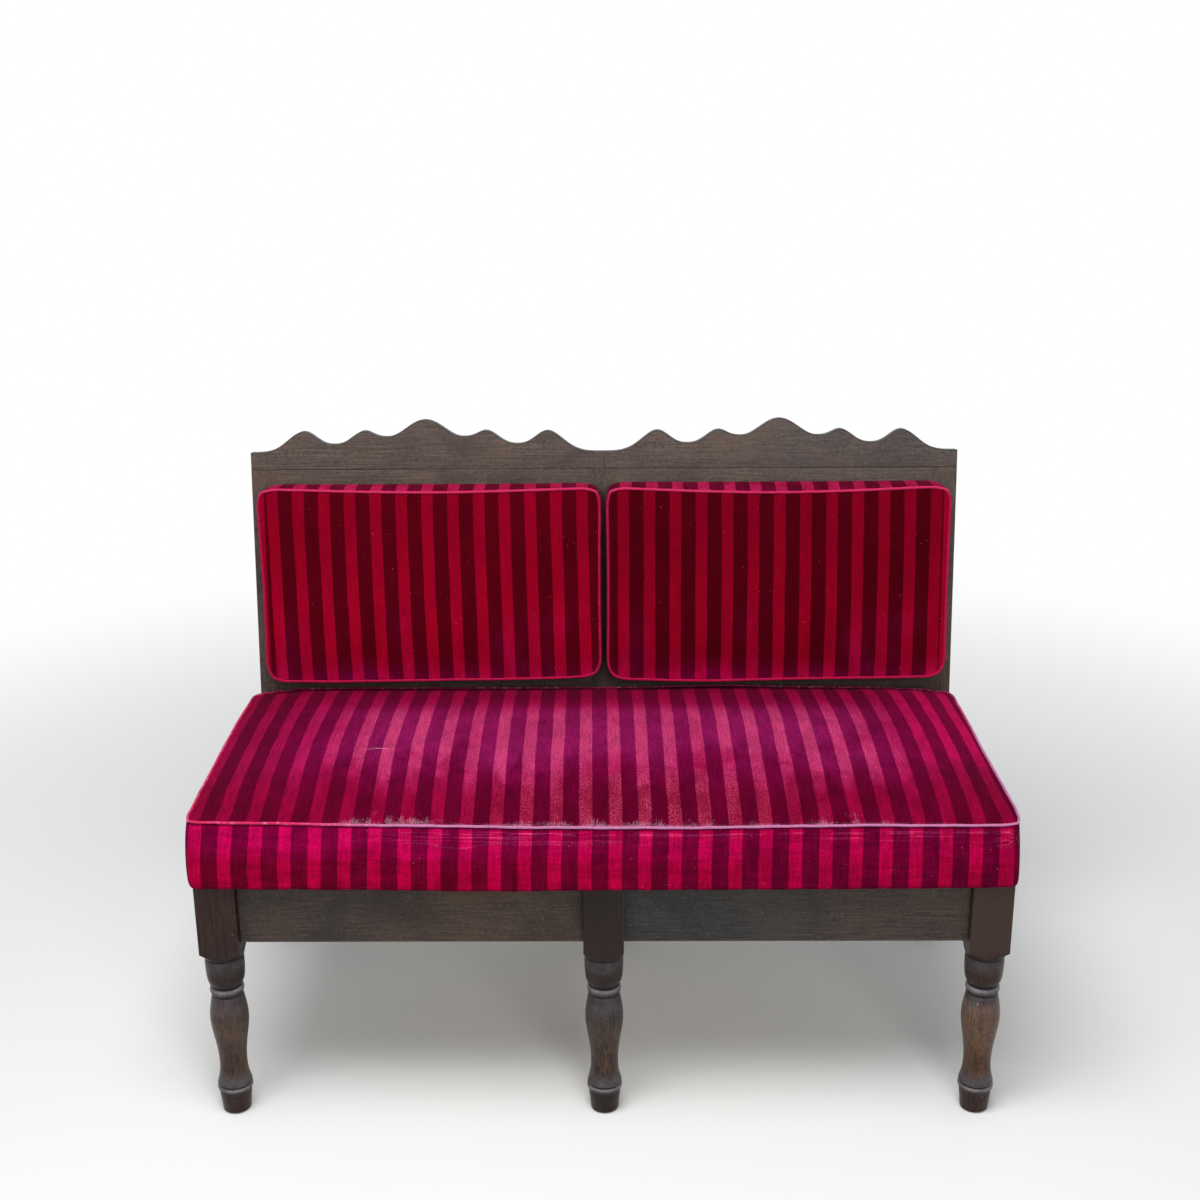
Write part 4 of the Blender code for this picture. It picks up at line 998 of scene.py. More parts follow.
def eased(x, places, values):
    """Smooth passage through values at places."""
    x = np.asarray(x, float)
    index = np.clip(np.searchsorted(places, x) - 1, 0, len(places) - 2)
    places, values = np.asarray(places), np.asarray(values)
    share = np.clip((x - places[index]) / (places[index + 1] - places[index]), 0, 1)
    share = share * share * (3 - 2 * share)
    return values[index] * (1 - share) + values[index + 1] * share


def surface(x, y, columns, lines, table):
    """Smooth passage through a table of values over x and y."""
    y = np.asarray(y, float)
    rows = np.stack([eased(x, columns, row) for row in table])
    index = np.clip(np.searchsorted(lines, y) - 1, 0, len(lines) - 2)
    lines = np.asarray(lines)
    share = np.clip((y - lines[index]) / (lines[index + 1] - lines[index]), 0, 1)
    which = np.arange(y.size)
    return rows[index, which] * (1 - share) + rows[index + 1, which] * share


class Cushion:
    """A boxed cushion laid flat: crowned top, seam, boxing and a base that is closed while it swells."""

    def __init__(self, half_x, half_y, seam_height, corner, rounding, step):
        self.half_x, self.half_y, self.seam_height = half_x, half_y, seam_height
        cells = max(4, round(corner / step))

        def lines(half):
            near = -half + corner * np.arange(cells) / cells
            inner = half - corner
            middle = np.linspace(-inner, inner, max(2, round(2 * inner / step)) + 1)
            return np.concatenate([near, middle, -near[::-1]])

        xs, ys = lines(half_x), lines(half_y)
        self.flat_x, self.flat_y = np.meshgrid(xs, ys, indexing="ij")
        x, y = self.flat_x.copy(), self.flat_y.copy()
        for (side_x, side_y), share in rounding.items():
            s = np.clip((side_x * self.flat_x - (half_x - corner)) / corner, 0, 1)
            t = np.clip((side_y * self.flat_y - (half_y - corner)) / corner, 0, 1)
            x -= side_x * corner * share * s * (1 - np.sqrt(1 - t * t / 2))
            y -= side_y * corner * share * t * (1 - np.sqrt(1 - s * s / 2))
        self.x, self.y = x, y
        across, along = x.shape
        self.across, self.along = across, along
        index = np.arange(across * along).reshape(across, along)
        self.index = index
        self.rim = np.concatenate([index[:-1, 0], index[-1, :-1], index[:0:-1, -1], index[0, :0:-1]])

    def crown(self, height, reach_x, reach_y, power):
        """Rise over the seam: steep at the edges, level over the middle."""
        room_x = np.clip((self.half_x - np.abs(self.flat_x)) / reach_x, 0, 1)
        room_y = np.clip((self.half_y - np.abs(self.flat_y)) / reach_y, 0, 1)
        return height * (1 - (1 - room_x) ** power) * (1 - (1 - room_y) ** power)

    def built(self, name, crown, seam_shift, hem_shift, bulge, rows, stripes):
        """The closed net with its stripe coordinates. seam_shift(x, y) and hem_shift(x, y) move points of the seam
        and of the hem, and bulge(x, y) is how far the boxing swells between them."""
        net_x, net_y = self.x.ravel(), self.y.ravel()
        top = np.stack([net_x, net_y, np.full(net_x.size, self.seam_height)], 1)
        # a shift of the seam dies away towards the middle of the top
        room = np.minimum(self.half_x - np.abs(net_x), self.half_y - np.abs(net_y)).clip(0)
        fade = np.exp(-((room / 0.05) ** 1.3))[:, None]
        top += seam_shift(net_x, net_y) * fade
        top[:, 2] += crown.ravel()
        rim = self.rim
        ring = top[rim]
        ahead, behind = np.roll(ring, -1, 0), np.roll(ring, 1, 0)
        tangent = ahead - behind
        outward = np.stack([tangent[:, 1], -tangent[:, 0], np.zeros(len(rim))], 1)
        outward /= np.linalg.norm(outward, axis=1)[:, None]
        places = [top]
        levels = np.asarray(rows)
        flat_ring = np.stack([net_x[rim], net_y[rim], np.zeros(len(rim))], 1)
        hem = flat_ring + hem_shift(net_x[rim], net_y[rim]) + outward * 0.001
        swelling = bulge(net_x[rim], net_y[rim])[:, None]
        for level in levels[1:]:
            share = level / levels[-1]
            row = ring * (1 - share) + hem * share
            places.append(row + outward * swelling * math.sin(math.pi * share) ** 0.45)
        inner = self.index[1:-1, 1:-1].ravel()
        places.append(np.stack([net_x[inner], net_y[inner], np.zeros(inner.size)], 1))
        places = np.concatenate(places)
        count = len(rim)
        first_row = net_x.size
        rings = [rim] + [first_row + count * k + np.arange(count) for k in range(len(levels) - 1)]
        faces, uvs, parts = [], [], []
        pitch, top_edge, boxing_edge, slant = stripes["pitch"], stripes["top"], stripes["boxing"], stripes["slant"]
        # the stripes lie straight under the seam, but follow the part of its shift that the cloth was sewn with
        followed = 0.0
        if "followed" in stripes:
            followed = stripes["followed"](net_x, net_y) * fade[:, 0] + stripes["drift"](net_x, net_y)
        top_u = (top[:, 0] - followed - top_edge - slant * (net_y / (2 * self.half_y) + 0.5)) / pitch
        top_v = net_y / pitch
        index = self.index
        quads = np.stack([index[:-1, :-1], index[1:, :-1], index[1:, 1:], index[:-1, 1:]], -1).reshape(-1, 4)
        faces += quads.tolist()
        uvs += [[(top_u[k], top_v[k]) for k in quad] for quad in quads]
        parts += [0] * len(quads)
        # way round the rim, measured both ways from the middle of the front, or of the top where the cushion stands
        flat = top[rim][:, :2] if stripes["upright"] else flat_ring[:, :2]
        steps = np.linalg.norm(np.roll(flat, -1, 0) - flat, axis=1)
        way = np.concatenate([[0], np.cumsum(steps)[:-1]])
        sense = -1 if stripes["upright"] else 1
        side = slice(self.across + self.along - 2, 2 * self.across + self.along - 3)
        side = side if stripes["upright"] else slice(0, self.across)
        origin = np.interp(0.0, sense * flat[side, 0], way[side])
        whole = steps.sum()
        round_rim = sense * ((way - origin + whole / 2) % whole - whole / 2)
        box_pitch = stripes.get("boxing_pitch", pitch)
        # the boxing was sewn on a little askew: slip(x, depth) is how far its stripes lie off
        slips = [np.zeros(count) for _ in levels]
        if "slip" in stripes:
            slips = [stripes["slip"](net_x[rim], level) for level in levels]
        for k in range(len(rings) - 1):
            for j in range(count):
                n = (j + 1) % count
                start, end = round_rim[j] - boxing_edge, round_rim[j] - boxing_edge + sense * steps[j]
                v0, v1 = -levels[k] / box_pitch, -levels[k + 1] / box_pitch
                faces.append((int(rings[k][j]), int(rings[k + 1][j]), int(rings[k + 1][n]), int(rings[k][n])))
                uvs.append([
                    ((start - slips[k][j]) / box_pitch, v0),
                    ((start - slips[k + 1][j]) / box_pitch, v1),
                    ((end - slips[k + 1][n]) / box_pitch, v1),
                    ((end - slips[k][n]) / box_pitch, v0),
                ])
                parts.append(1)
        # base, turned to face down
        first_base = first_row + count * (len(levels) - 1)
        base = np.empty(index.size, int)
        base[rim] = rings[-1]
        base[inner] = first_base + np.arange(inner.size)
        base = base.reshape(index.shape)
        quads = np.stack([base[:-1, :-1], base[:-1, 1:], base[1:, 1:], base[1:, :-1]], -1).reshape(-1, 4)
        faces += quads.tolist()
        uvs += [[(0.0, 0.0)] * 4] * len(quads)
        parts += [2] * len(quads)
        mesh = bpy.data.meshes.new(name)
        mesh.from_pydata(places.tolist(), [], faces)
        layer = mesh.uv_layers.new(name="cloth")
        layer.data.foreach_set("uv", np.asarray(uvs, float).ravel())
        mesh.polygons.foreach_set("material_index", parts)
        mesh.polygons.foreach_set("use_smooth", [True] * len(faces))
        # the hem's places before its shift, which the recess for the board follows
        home = places.copy()
        home[rings[-1]] = flat_ring
        mesh.attributes.new("home", "FLOAT_VECTOR", "POINT").data.foreach_set("vector", home.ravel())
        mesh.update()
        piece = bpy.data.objects.new(name, mesh)
        bpy.context.scene.collection.objects.link(piece)
        held = piece.vertex_groups.new(name="held")
        for points in (rim.tolist(), rings[-1].tolist(), list(range(first_base, len(places)))):
            held.add(points, 1.0, "REPLACE")
        self.seam = [Vector(places[k]) + Vector(outward[j]) * 0.0005 for j, k in enumerate(rim)]
        return piece


def swell(piece, pressure, stiffness, limit, frames=20):
    """Lets the cloth swell over its filling, held at the seam and the base, and keeps each point within limit."""
    scene = bpy.context.scene
    count = len(piece.data.vertices)
    before = np.zeros(count * 3)
    piece.data.vertices.foreach_get("co", before)
    take(piece)
    step = piece.modifiers.new("swelling", "CLOTH")
    cloth = step.settings
    cloth.quality = 6
    cloth.mass = 0.3
    cloth.tension_stiffness = stiffness
    cloth.compression_stiffness = stiffness
    cloth.shear_stiffness = stiffness / 3
    cloth.bending_stiffness = 0.6
    cloth.tension_damping = 12.0
    cloth.compression_damping = 12.0
    cloth.air_damping = 4.0
    cloth.use_pressure = True
    cloth.uniform_pressure_force = pressure
    cloth.vertex_group_mass = "held"
    cloth.effector_weights.gravity = 0.0
    step.collision_settings.use_collision = False
    step.point_cache.frame_start = 1
    step.point_cache.frame_end = frames
    for number in range(1, frames + 1):
        scene.frame_set(number)
    take(piece)
    bpy.ops.object.modifier_apply(modifier=step.name)
    scene.frame_set(1)
    after = np.zeros(count * 3)
    piece.data.vertices.foreach_get("co", after)
    move = (after - before).reshape(-1, 3)
    length = np.linalg.norm(move, axis=1)
    # far moves are drawn back smoothly to the limit
    kept = limit * np.tanh(length / limit)
    move *= (kept / np.maximum(length, 1e-9))[:, None]
    piece.data.vertices.foreach_set("co", (before.reshape(-1, 3) + move).ravel())
    piece.data.update()
    print(piece.name, "moved by up to", round(float(length.max()), 4), "mean", round(float(length.mean()), 4))


def open_base(piece, margin, lip, recess, depth):
    """Takes the closed base out and turns the cover in behind its board, in a closed recess of that depth."""
    net = bmesh.new()
    net.from_mesh(piece.data)
    bmesh.ops.delete(net, geom=[f for f in net.faces if f.material_index == 2], context="FACES_ONLY")
    edges = [e for e in net.edges if len(e.link_faces) == 1]
    steps = [(margin, 0.0, 1), (margin, lip, 1), (recess, lip, 2), (recess, depth, 2)]
    repeat = 0.0411
    bmesh.ops.delete(net, geom=[v for v in net.verts if not v.link_faces], context="VERTS")
    points = {v for e in edges for v in e.verts}
    before_shift = net.verts.layers.float_vector["home"]
    home = {v: Vector(v[before_shift]) for v in points}
    high_x = max(place.x for place in home.values())
    high_y = max(place.y for place in home.values())
    layer = net.loops.layers.uv["cloth"]
    for inset, level, part in steps:
        made = bmesh.ops.extrude_edge_only(net, edges=edges)["geom"]
        new_points = [g for g in made if isinstance(g, bmesh.types.BMVert)]
        new_faces = [g for g in made if isinstance(g, bmesh.types.BMFace)]
        new_edges = [g for g in made if isinstance(g, bmesh.types.BMEdge) and len(g.link_faces) == 1]
        old_places = {tuple(round(c, 6) for c in v.co): start for v, start in home.items()}
        fresh = {}
        for v in new_points:
            start = old_places[tuple(round(c, 6) for c in v.co)]
            fresh[v] = start
            v.co = Vector((start.x * (high_x - inset) / high_x, start.y * (high_y - inset) / high_y, level))
        for face in new_faces:
            face.material_index = part
            face.smooth = False
            for loop in face.loops:
                start = fresh.get(loop.vert) or home.get(loop.vert)
                loop[layer].uv = (start.x / repeat, (start.y + level + inset) / repeat)
        home = fresh
        edges = new_edges
    bmesh.ops.contextual_create(net, geom=edges)
    bmesh.ops.recalc_face_normals(net, faces=net.faces[:])
    net.to_mesh(piece.data)
    net.free()
    piece.data.attributes.remove(piece.data.attributes["home"])


def piping(name, seam, radius, finish_name, phase):
    """A covered cord that follows the seam, with the small waver of hand sewing."""
    count = len(seam)
    curve = bpy.data.curves.new(name, "CURVE")
    curve.dimensions = "3D"
    curve.bevel_depth = radius
    curve.bevel_resolution = 3
    line = curve.splines.new("POLY")
    line.points.add(count - 1)
    way = 0.0
    for k, place in enumerate(seam):
        before = seam[k - 1]
        way += (place - before).length
        lift = 0.00022 * math.sin(way * 61.0 + phase) + 0.00016 * math.sin(way * 149.0 + 2.3 * phase)
        line.points[k].co = (place.x, place.y, place.z + lift, 1.0)
        line.points[k].radius = 1.0 + 0.035 * math.sin(way * 97.0 + phase) + 0.025 * math.sin(way * 233.0)
    line.use_cyclic_u = True
    cord = bpy.data.objects.new(name, curve)
    bpy.context.scene.collection.objects.link(cord)
    take(cord)
    bpy.ops.object.convert(target="MESH")
    cord = started(name, finish(finish_name))
    cord.data.polygons.foreach_set("use_smooth", [True] * len(cord.data.polygons))
    return cord


def boxing_rows(close, seam_height, step):
    """Depths of the boxing's rows under the seam: the close ones, then even ones down to the hem."""
    rest = seam_height - close[-1]
    count = round(rest / step)
    return close + [close[-1] + rest * (k + 1) / count for k in range(count)]


def upholstered(cover, cushion, node, finishes, cord_name, cord_radius, phase, swelling, place):
    """Fills the cover, turns it in at its base, sews its piping on and sets both in their place."""
    swell(cover, bpy.context.scene.bench_cushions.pressure, CLOTH_STIFFNESS, swelling)
    top_finish, boxing_finish, cord_finish = finishes
    for name in (top_finish, boxing_finish, "plywood"):
        cover.data.materials.append(finish(name))
    applied(cover, "SUBSURF", levels=1, render_levels=1)
    open_base(cover, margin=0.016, lip=0.0016, recess=0.0045, depth=0.0141)
    cover.vertex_groups.clear()
    cord = piping(cord_name, cushion.seam, cord_radius, cord_finish, phase)
    for piece in (cover, cord):
        piece.data.transform(place)
        piece.data.update()
    seat_on_frame(cover, "crimson_striped_velvet", f"{node}_cover", f"{node}_foam")
    seat_on_frame(cord, "pink_piping", f"{node}_piping")


class BENCH_OT_seat_cushion(bpy.types.Operator):
    """Makes the boxed seat cushion with its piping"""

    bl_idname = "bench.seat_cushion"
    bl_label = "Seat cushion"

    def execute(self, context):
        sizes = context.scene.bench_cushions
        seam_low, seam_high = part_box("seat_piping")
        cord = 0.0024
        half_x = seam_high.x - cord
        half_y = (seam_high.y - seam_low.y) / 2 - cord
        middle_y = (seam_high.y + seam_low.y) / 2
        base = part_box("seat_cover")[0].z
        seam_height = (seam_low.z + seam_high.z) / 2 - base
        rounding = {(-1, -1): 0.55, (1, -1): 0.50, (-1, 1): 0.85, (1, 1): 0.85}
        cushion = Cushion(half_x, half_y, seam_height, 0.028, rounding, sizes.net_step)
        crown = cushion.crown(sizes.seat_crown, 0.150, 0.165, 2.6)
        front_x = (-0.568, -0.545, -0.4386, -0.3271, -0.2156, -0.1042, 0.0, 0.1281, 0.2473, 0.3665, 0.4856, 0.568)
        front_z = (0.0062, 0.0064, 0.0057, 0.0033, 0.0017, -0.0008, -0.0016, -0.0020, -0.0001, 0.0012, 0.0004, 0.0012)
        rear_x = (-0.545, -0.525, -0.486, -0.42, -0.15, 0.065, 0.106, 0.165, 0.225, 0.285, 0.342, 0.431, 0.49,
                  0.52, 0.545)
        rear_z = (-0.0060, -0.0030, 0.0005, 0.0013, 0.0011, 0.0011, 0.0030, 0.0045, 0.0040, 0.0022, 0.0010, -0.0002,
                  -0.0020, -0.0040, -0.0070)

        # how far the left and the right side stand off the drawn line, from front to rear
        side_y = (-0.2535, -0.225, -0.198, -0.140, 0.020, 0.170, 0.2535)
        left_out = (-0.0020, -0.0021, -0.0026, -0.0055, -0.0074, -0.0078, -0.0072)
        right_out = (-0.0010, 0.0012, 0.0025, 0.0016, -0.0006, -0.0002, 0.0010)
        # the hem of the front: sideways, back and down
        hem_x = (-0.568, -0.44, -0.35, -0.15, 0.02, 0.23, 0.43, 0.54, 0.568)
        hem_aside = (-0.0075, -0.0066, -0.0062, -0.0018, 0.0005, 0.0023, 0.0020, 0.0018, 0.0062)
        hem_back = (0.0045, 0.0030, 0.0016, -0.0018, 0.0, -0.0002, 0.0014, 0.0040, 0.0045)
        hem_drop = (0.0, 0.0, -0.0003, -0.0021, -0.0012, -0.0004, 0.0, 0.0, 0.0)

        def sides(x):
            return np.exp(-(((x + half_x) / 0.12) ** 2)), np.exp(-(((half_x - x) / 0.12) ** 2))

        def seam_shift(x, y):
            near_front = np.exp(-(((y + half_y) / 0.11) ** 2))
            near_rear = np.exp(-(((half_y - y) / 0.10) ** 2))
            left, right = sides(x)
            rise = eased(x, front_x, front_z) * near_front + eased(x, rear_x, rear_z) * near_rear
            aside = eased(y, side_y, left_out) * left + eased(y, side_y, right_out) * right
            # the front pulls in a little between the corners
            back = 0.0030 * left * near_front
            return np.stack([aside, back, rise], 1)

        def followed(x, y):
            left, right = sides(x)
            pull = 0.0022 * np.cos(np.pi * np.clip(y / half_y, -1, 1) / 2) ** 2
            return -0.0050 * left - 0.0030 * right + np.where(x < 0, 1, -1) * pull * (left + right)

        # how far the stripes of the top bow aside, in millimetres, from front to rear, and those of the boxing
        bow_x = (-0.50, -0.38, -0.25, -0.10, 0.0, 0.10, 0.25, 0.38, 0.50)
        bow_y = tuple(line - middle_y for line in (-0.275, -0.210, -0.142, -0.070, 0.006, 0.0865))
        bow = (
            (0.6, 1.7, 2.8, 2.2, 1.5, 0.7, 1.4, 3.1, 6.2),
            (-3.3, 0.3, 1.4, 1.9, 1.1, 0.7, 1.6, 3.7, 5.7),
            (-4.7, -1.9, 0.3, 0.7, 1.2, 1.0, 2.3, 4.8, 7.6),
            (-5.6, -3.3, -0.6, 1.0, 1.5, 1.8, 3.3, 7.0, 10.6),
            (-5.0, -1.9, 0.5, 0.9, 1.7, 2.5, 5.1, 7.6, 10.0),
            (-1.1, 0.8, 2.1, 1.6, 0.8, 2.4, 4.2, 5.6, 5.6),
        )
        slip_x = (-0.501, -0.336, -0.172, -0.0075, 0.157, 0.321, 0.486)
        slip_upper = (8.9, 6.2, 4.9, 3.4, 2.1, 0.7, -0.7)
        slip_lower = (6.2, 5.4, 3.1, 1.8, 0.4, 0.0, 0.0)

        def drift(x, y):
            return surface(x, y, bow_x, bow_y, bow) / 1000

        def slip(x, depth):
            share = min(max((0.052 - depth) / 0.034, 0.0), 1.2)
            lower = eased(x, slip_x, slip_lower)
            return (lower + (eased(x, slip_x, slip_upper) - lower) * share) / 1000

        def hem_shift(x, y):
            near_front = np.exp(-(((y + half_y) / 0.06) ** 2))
            left, right = sides(x)
            rear = np.clip(y / half_y, 0, 1)
            aside = near_front * eased(x, hem_x, hem_aside)
            aside += (1 - near_front) * (-0.0075 * left + 0.0062 * right) * (1 - 0.4 * rear)
            back = near_front * eased(x, hem_x, hem_back)
            waver = 0.00035 * np.sin(x * 71.0) + 0.00025 * np.sin(x * 163.0 + 1.0)
            drop = near_front * (eased(x, hem_x, hem_drop) + waver)
            return np.stack([aside, back, drop], 1)

        def bulge(x, y):
            ends = np.clip((np.abs(x) - (half_x - 0.012)) / 0.012, 0, 1)
            wavy = 0.0005 * np.sin(x * 23.0 + 0.6) + 0.0004 * np.sin(x * 57.0 + 2.0)
            return 0.0030 + wavy * (1 - ends) + 0.0020 * ends * np.where(x < 0, 1.0, -0.3)

        rows = boxing_rows([0.0, 0.0030, 0.0060, 0.0090, 0.0125, 0.0170], seam_height, sizes.net_step)
        stripes = {
            "pitch": 0.0410, "top": -0.5255, "boxing": -0.5305, "boxing_pitch": 0.0412, "slant": -0.0062,
            "followed": followed, "drift": drift, "slip": slip, "upright": False,
        }
        cover = cushion.built("seat_cushion_velvet", crown, seam_shift, hem_shift, bulge, rows, stripes)
        finishes = ("seat_velvet", "boxing_velvet", "seat_piping_cloth")
        place = Matrix.Translation((0.0, middle_y, base))
        upholstered(cover, cushion, "seat", finishes, "seat_cushion_piping", sizes.piping_radius, 0.7, 0.006, place)
        return {"FINISHED"}


class BENCH_OT_back_pads(bpy.types.Operator):
    """Makes the two boxed back pads with their piping"""

    bl_idname = "bench.back_pads"
    bl_label = "Back pads"

    def execute(self, context):
        sizes = context.scene.bench_cushions
        half_x, half_y, seam_height = 0.2683, 0.15575, 0.049
        centre_x, centre_rise = 0.2748, 0.23035
        # rise of the lower seam from left to right, and how far the outer seam stands out from foot to head
        foot_x = (-0.26, -0.22, -0.17, -0.11, -0.02, 0.04, 0.10, 0.19, 0.25)
        foot_rise = {
            "left": (0.0, 0.0008, 0.0006, 0.0020, 0.0036, 0.0046, 0.0045, 0.0052, 0.0070),
            "right": (0.0030, 0.0023, 0.0012, 0.0008, 0.0031, 0.0043, 0.0045, 0.0045, 0.0050),
        }
        out_y = (-0.156, -0.10, -0.02, 0.05, 0.156)
        outer_out = {
            "left": (0.0022, 0.0034, 0.0042, 0.0062, 0.0082),
            "right": (0.0062, 0.0066, 0.0071, 0.0075, 0.0082),
        }
        # first stripe at the foot, repeat, lean of the stripes, offset of the boxing's stripes, sag of the top seam,
        # height of the top's rear edge
        edges = {
            "left": (-0.5312, 0.0411, -0.0058, -0.0058, 0.0040, 0.0040),
            "right": (0.0227, 0.04145, -0.0003, 0.0042, 0.0063, 0.0060),
        }
        for side, (first_edge, pitch, lean_aside, offset, sag, rear_rise) in edges.items():
            turn = SIDES[side]
            rounding = {(-1, -1): 0.80, (1, -1): 0.80, (-1, 1): 0.58, (1, 1): 0.58}
            cushion = Cushion(half_x, half_y, seam_height, 0.032, rounding, sizes.net_step)
            crown = cushion.crown(sizes.pad_crown, 0.085, 0.075, 2.6)
            phase = 0.4 if side == "left" else 1.9

            def outer_side(x, turn=turn):
                return np.exp(-(((half_x - turn * x) / 0.05) ** 2))

            def seam_shift(x, y, sag=sag, phase=phase, turn=turn, outer_side=outer_side, side=side):
                upper = np.exp(-(((half_y - y) / 0.09) ** 2))
                lower = np.exp(-(((y + half_y) / 0.09) ** 2))
                middle = np.cos(np.pi * np.clip(x / half_x, -1, 1) / 2) ** 1.3
                rise = upper * (0.0020 - (sag + 0.0020) * middle)
                rise += lower * (0.0008 - 0.0022 * middle + eased(x, foot_x, foot_rise[side]))
                level = np.cos(np.pi * np.clip(y / half_y, -1, 1) / 2) ** 1.3
                ends = np.exp(-(((half_x - np.abs(x)) / 0.09) ** 2))
                aside = -np.sign(x) * 0.0014 * level * ends + turn * outer_side(x) * eased(y, out_y, outer_out[side])
                out = 0.0007 * np.sin(x * 37.0 + phase) * upper - 0.0012 * middle * upper
                return np.stack([aside, rise, out], 1)

            def hem_shift(x, y, turn=turn, outer_side=outer_side, rear_rise=rear_rise):
                upper = np.exp(-(((half_y - y) / 0.06) ** 2))
                aside = turn * outer_side(x) * 0.0040
                return np.stack([aside, rear_rise * upper, np.zeros(x.size)], 1)

            def bulge(x, y):
                return np.full(x.size, 0.0028)

            rows = boxing_rows([0.0, 0.0035, 0.0070, 0.0110], seam_height, sizes.net_step)
            local_edge = first_edge - turn * centre_x
            stripes = {
                "pitch": pitch, "top": local_edge, "boxing": local_edge + offset, "slant": lean_aside, "upright": True,
            }
            cover = cushion.built(f"back_pad_velvet_{side}", crown, seam_shift, hem_shift, bulge, rows, stripes)
            finishes = ("pad_velvet", "pad_boxing_velvet", "pad_piping_cloth")
            y, z = on_back(-JOINT_GAP, centre_rise)
            lean = Matrix.Translation((turn * centre_x, y, z)) @ Matrix.Rotation(math.pi / 2 - RAKE, 4, "X")
            upholstered(
                cover, cushion, f"back_pad_{side}", finishes, f"back_pad_piping_{side}", sizes.pad_piping_radius,
                phase, 0.005, lean,
            )
        return {"FINISHED"}


# ---------------------------------------------------------------- screws and inner parts


def screw_line(node):
    """Head end, pointing direction and length of a CAD screw."""
    places = np.array([v.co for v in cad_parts[node].data.vertices])
    middle = places.mean(0)
    axis = np.linalg.svd(places - middle)[2][0]
    along = (places - middle) @ axis
    off = np.linalg.norm(places - middle - np.outer(along, axis), axis=1)
    if off[along > along.mean()].max() > off[along < along.mean()].max():
        axis, along = -axis, -along
    return Vector(middle + axis * along.min()), Vector(axis), float(along.max() - along.min())


class BENCH_OT_screws(bpy.types.Operator):
    """Turns one slotted screw for each length and drives a copy at every CAD screw"""

    bl_idname = "bench.screws"
    bl_label = "Screws"

    def execute(self, context):
        masters = {}
        for node in sorted(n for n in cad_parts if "_screw" in n):
            head, axis, length = screw_line(node)
            key = round(length, 4)
            if key not in masters:
                masters[key] = self.slotted(key)
            screw = copied(masters[key], f"{node}_slotted")
            screw.data.transform(Matrix.Translation(head) @ axis.to_track_quat("-Z", "Y").to_matrix().to_4x4())
            seat_on_frame(screw, "screw_steel", node)
        for master in masters.values():
            bpy.data.objects.remove(master)
        return {"FINISHED"}

    def slotted(self, length):
        """A screw with its head at the origin, pointing down."""
        shank = 0.0022
        profile = (
            (0.0, shank), (-0.00030, 0.0036), (-0.0008, 0.0043), (-0.0016, 0.00475), (-0.0027, 0.0048),
            (-0.0031, 0.0046), (-0.0031, shank), (-length + 0.004, shank), (-length + 0.0002, 0.0008),
        )
        screw = turned("screw_master", "screw_steel", 24, profile)
        slot = block("screw_slot", "screw_steel", (0.0, 0.0, 0.0), (0.012, 0.0011, 0.0026))
        applied(screw, "BOOLEAN", operation="DIFFERENCE", object=slot, solver="EXACT")
        bpy.data.objects.remove(slot)
        shade(screw, 35.0)
        return screw


class BENCH_OT_inner_parts(bpy.types.Operator):
    """Gives the boards, blocks and dowels that stay as CAD solids their raw wood"""

    bl_idname = "bench.inner_parts"
    bl_label = "Boards, blocks and dowels"

    def execute(self, context):
        for name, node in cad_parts.items():
            if name.endswith("_board") and name != "crest_board":
                self.dress(node, "plywood")
            elif "corner_block" in name or "dowel" in name:
                self.dress(node, "block_wood")
        return {"FINISHED"}

    def dress(self, node, name):
        if not node.data.materials:
            node.data.materials.append(None)
        for slot in node.material_slots:
            slot.material = finish(name)


# ---------------------------------------------------------------- stage


def soft_lamp(name, place, target, width, depth, power):
    lamp = bpy.data.lights.new(name, "AREA")
    lamp.shape = "RECTANGLE"
    lamp.size = width
    lamp.size_y = depth
    lamp.energy = power
    made = bpy.data.objects.new(name, lamp)
    made.location = place
    made.rotation_euler = (Vector(target) - Vector(place)).to_track_quat("-Z", "Y").to_euler()
    bpy.context.scene.collection.objects.link(made)


def seen_directly(tree):
    """1 for rays from the camera and for mirrored and transmitted ones, else 0."""
    path = tree.nodes.new("ShaderNodeLightPath")
    seen = path.outputs["Is Camera Ray"]
    for ray in ("Is Glossy Ray", "Is Transmission Ray"):
        more = tree.nodes.new("ShaderNodeMath")
        more.operation = "MAXIMUM"
        tree.links.new(seen, more.inputs[0])
        tree.links.new(path.outputs[ray], more.inputs[1])
        seen = more.outputs[0]
    return seen


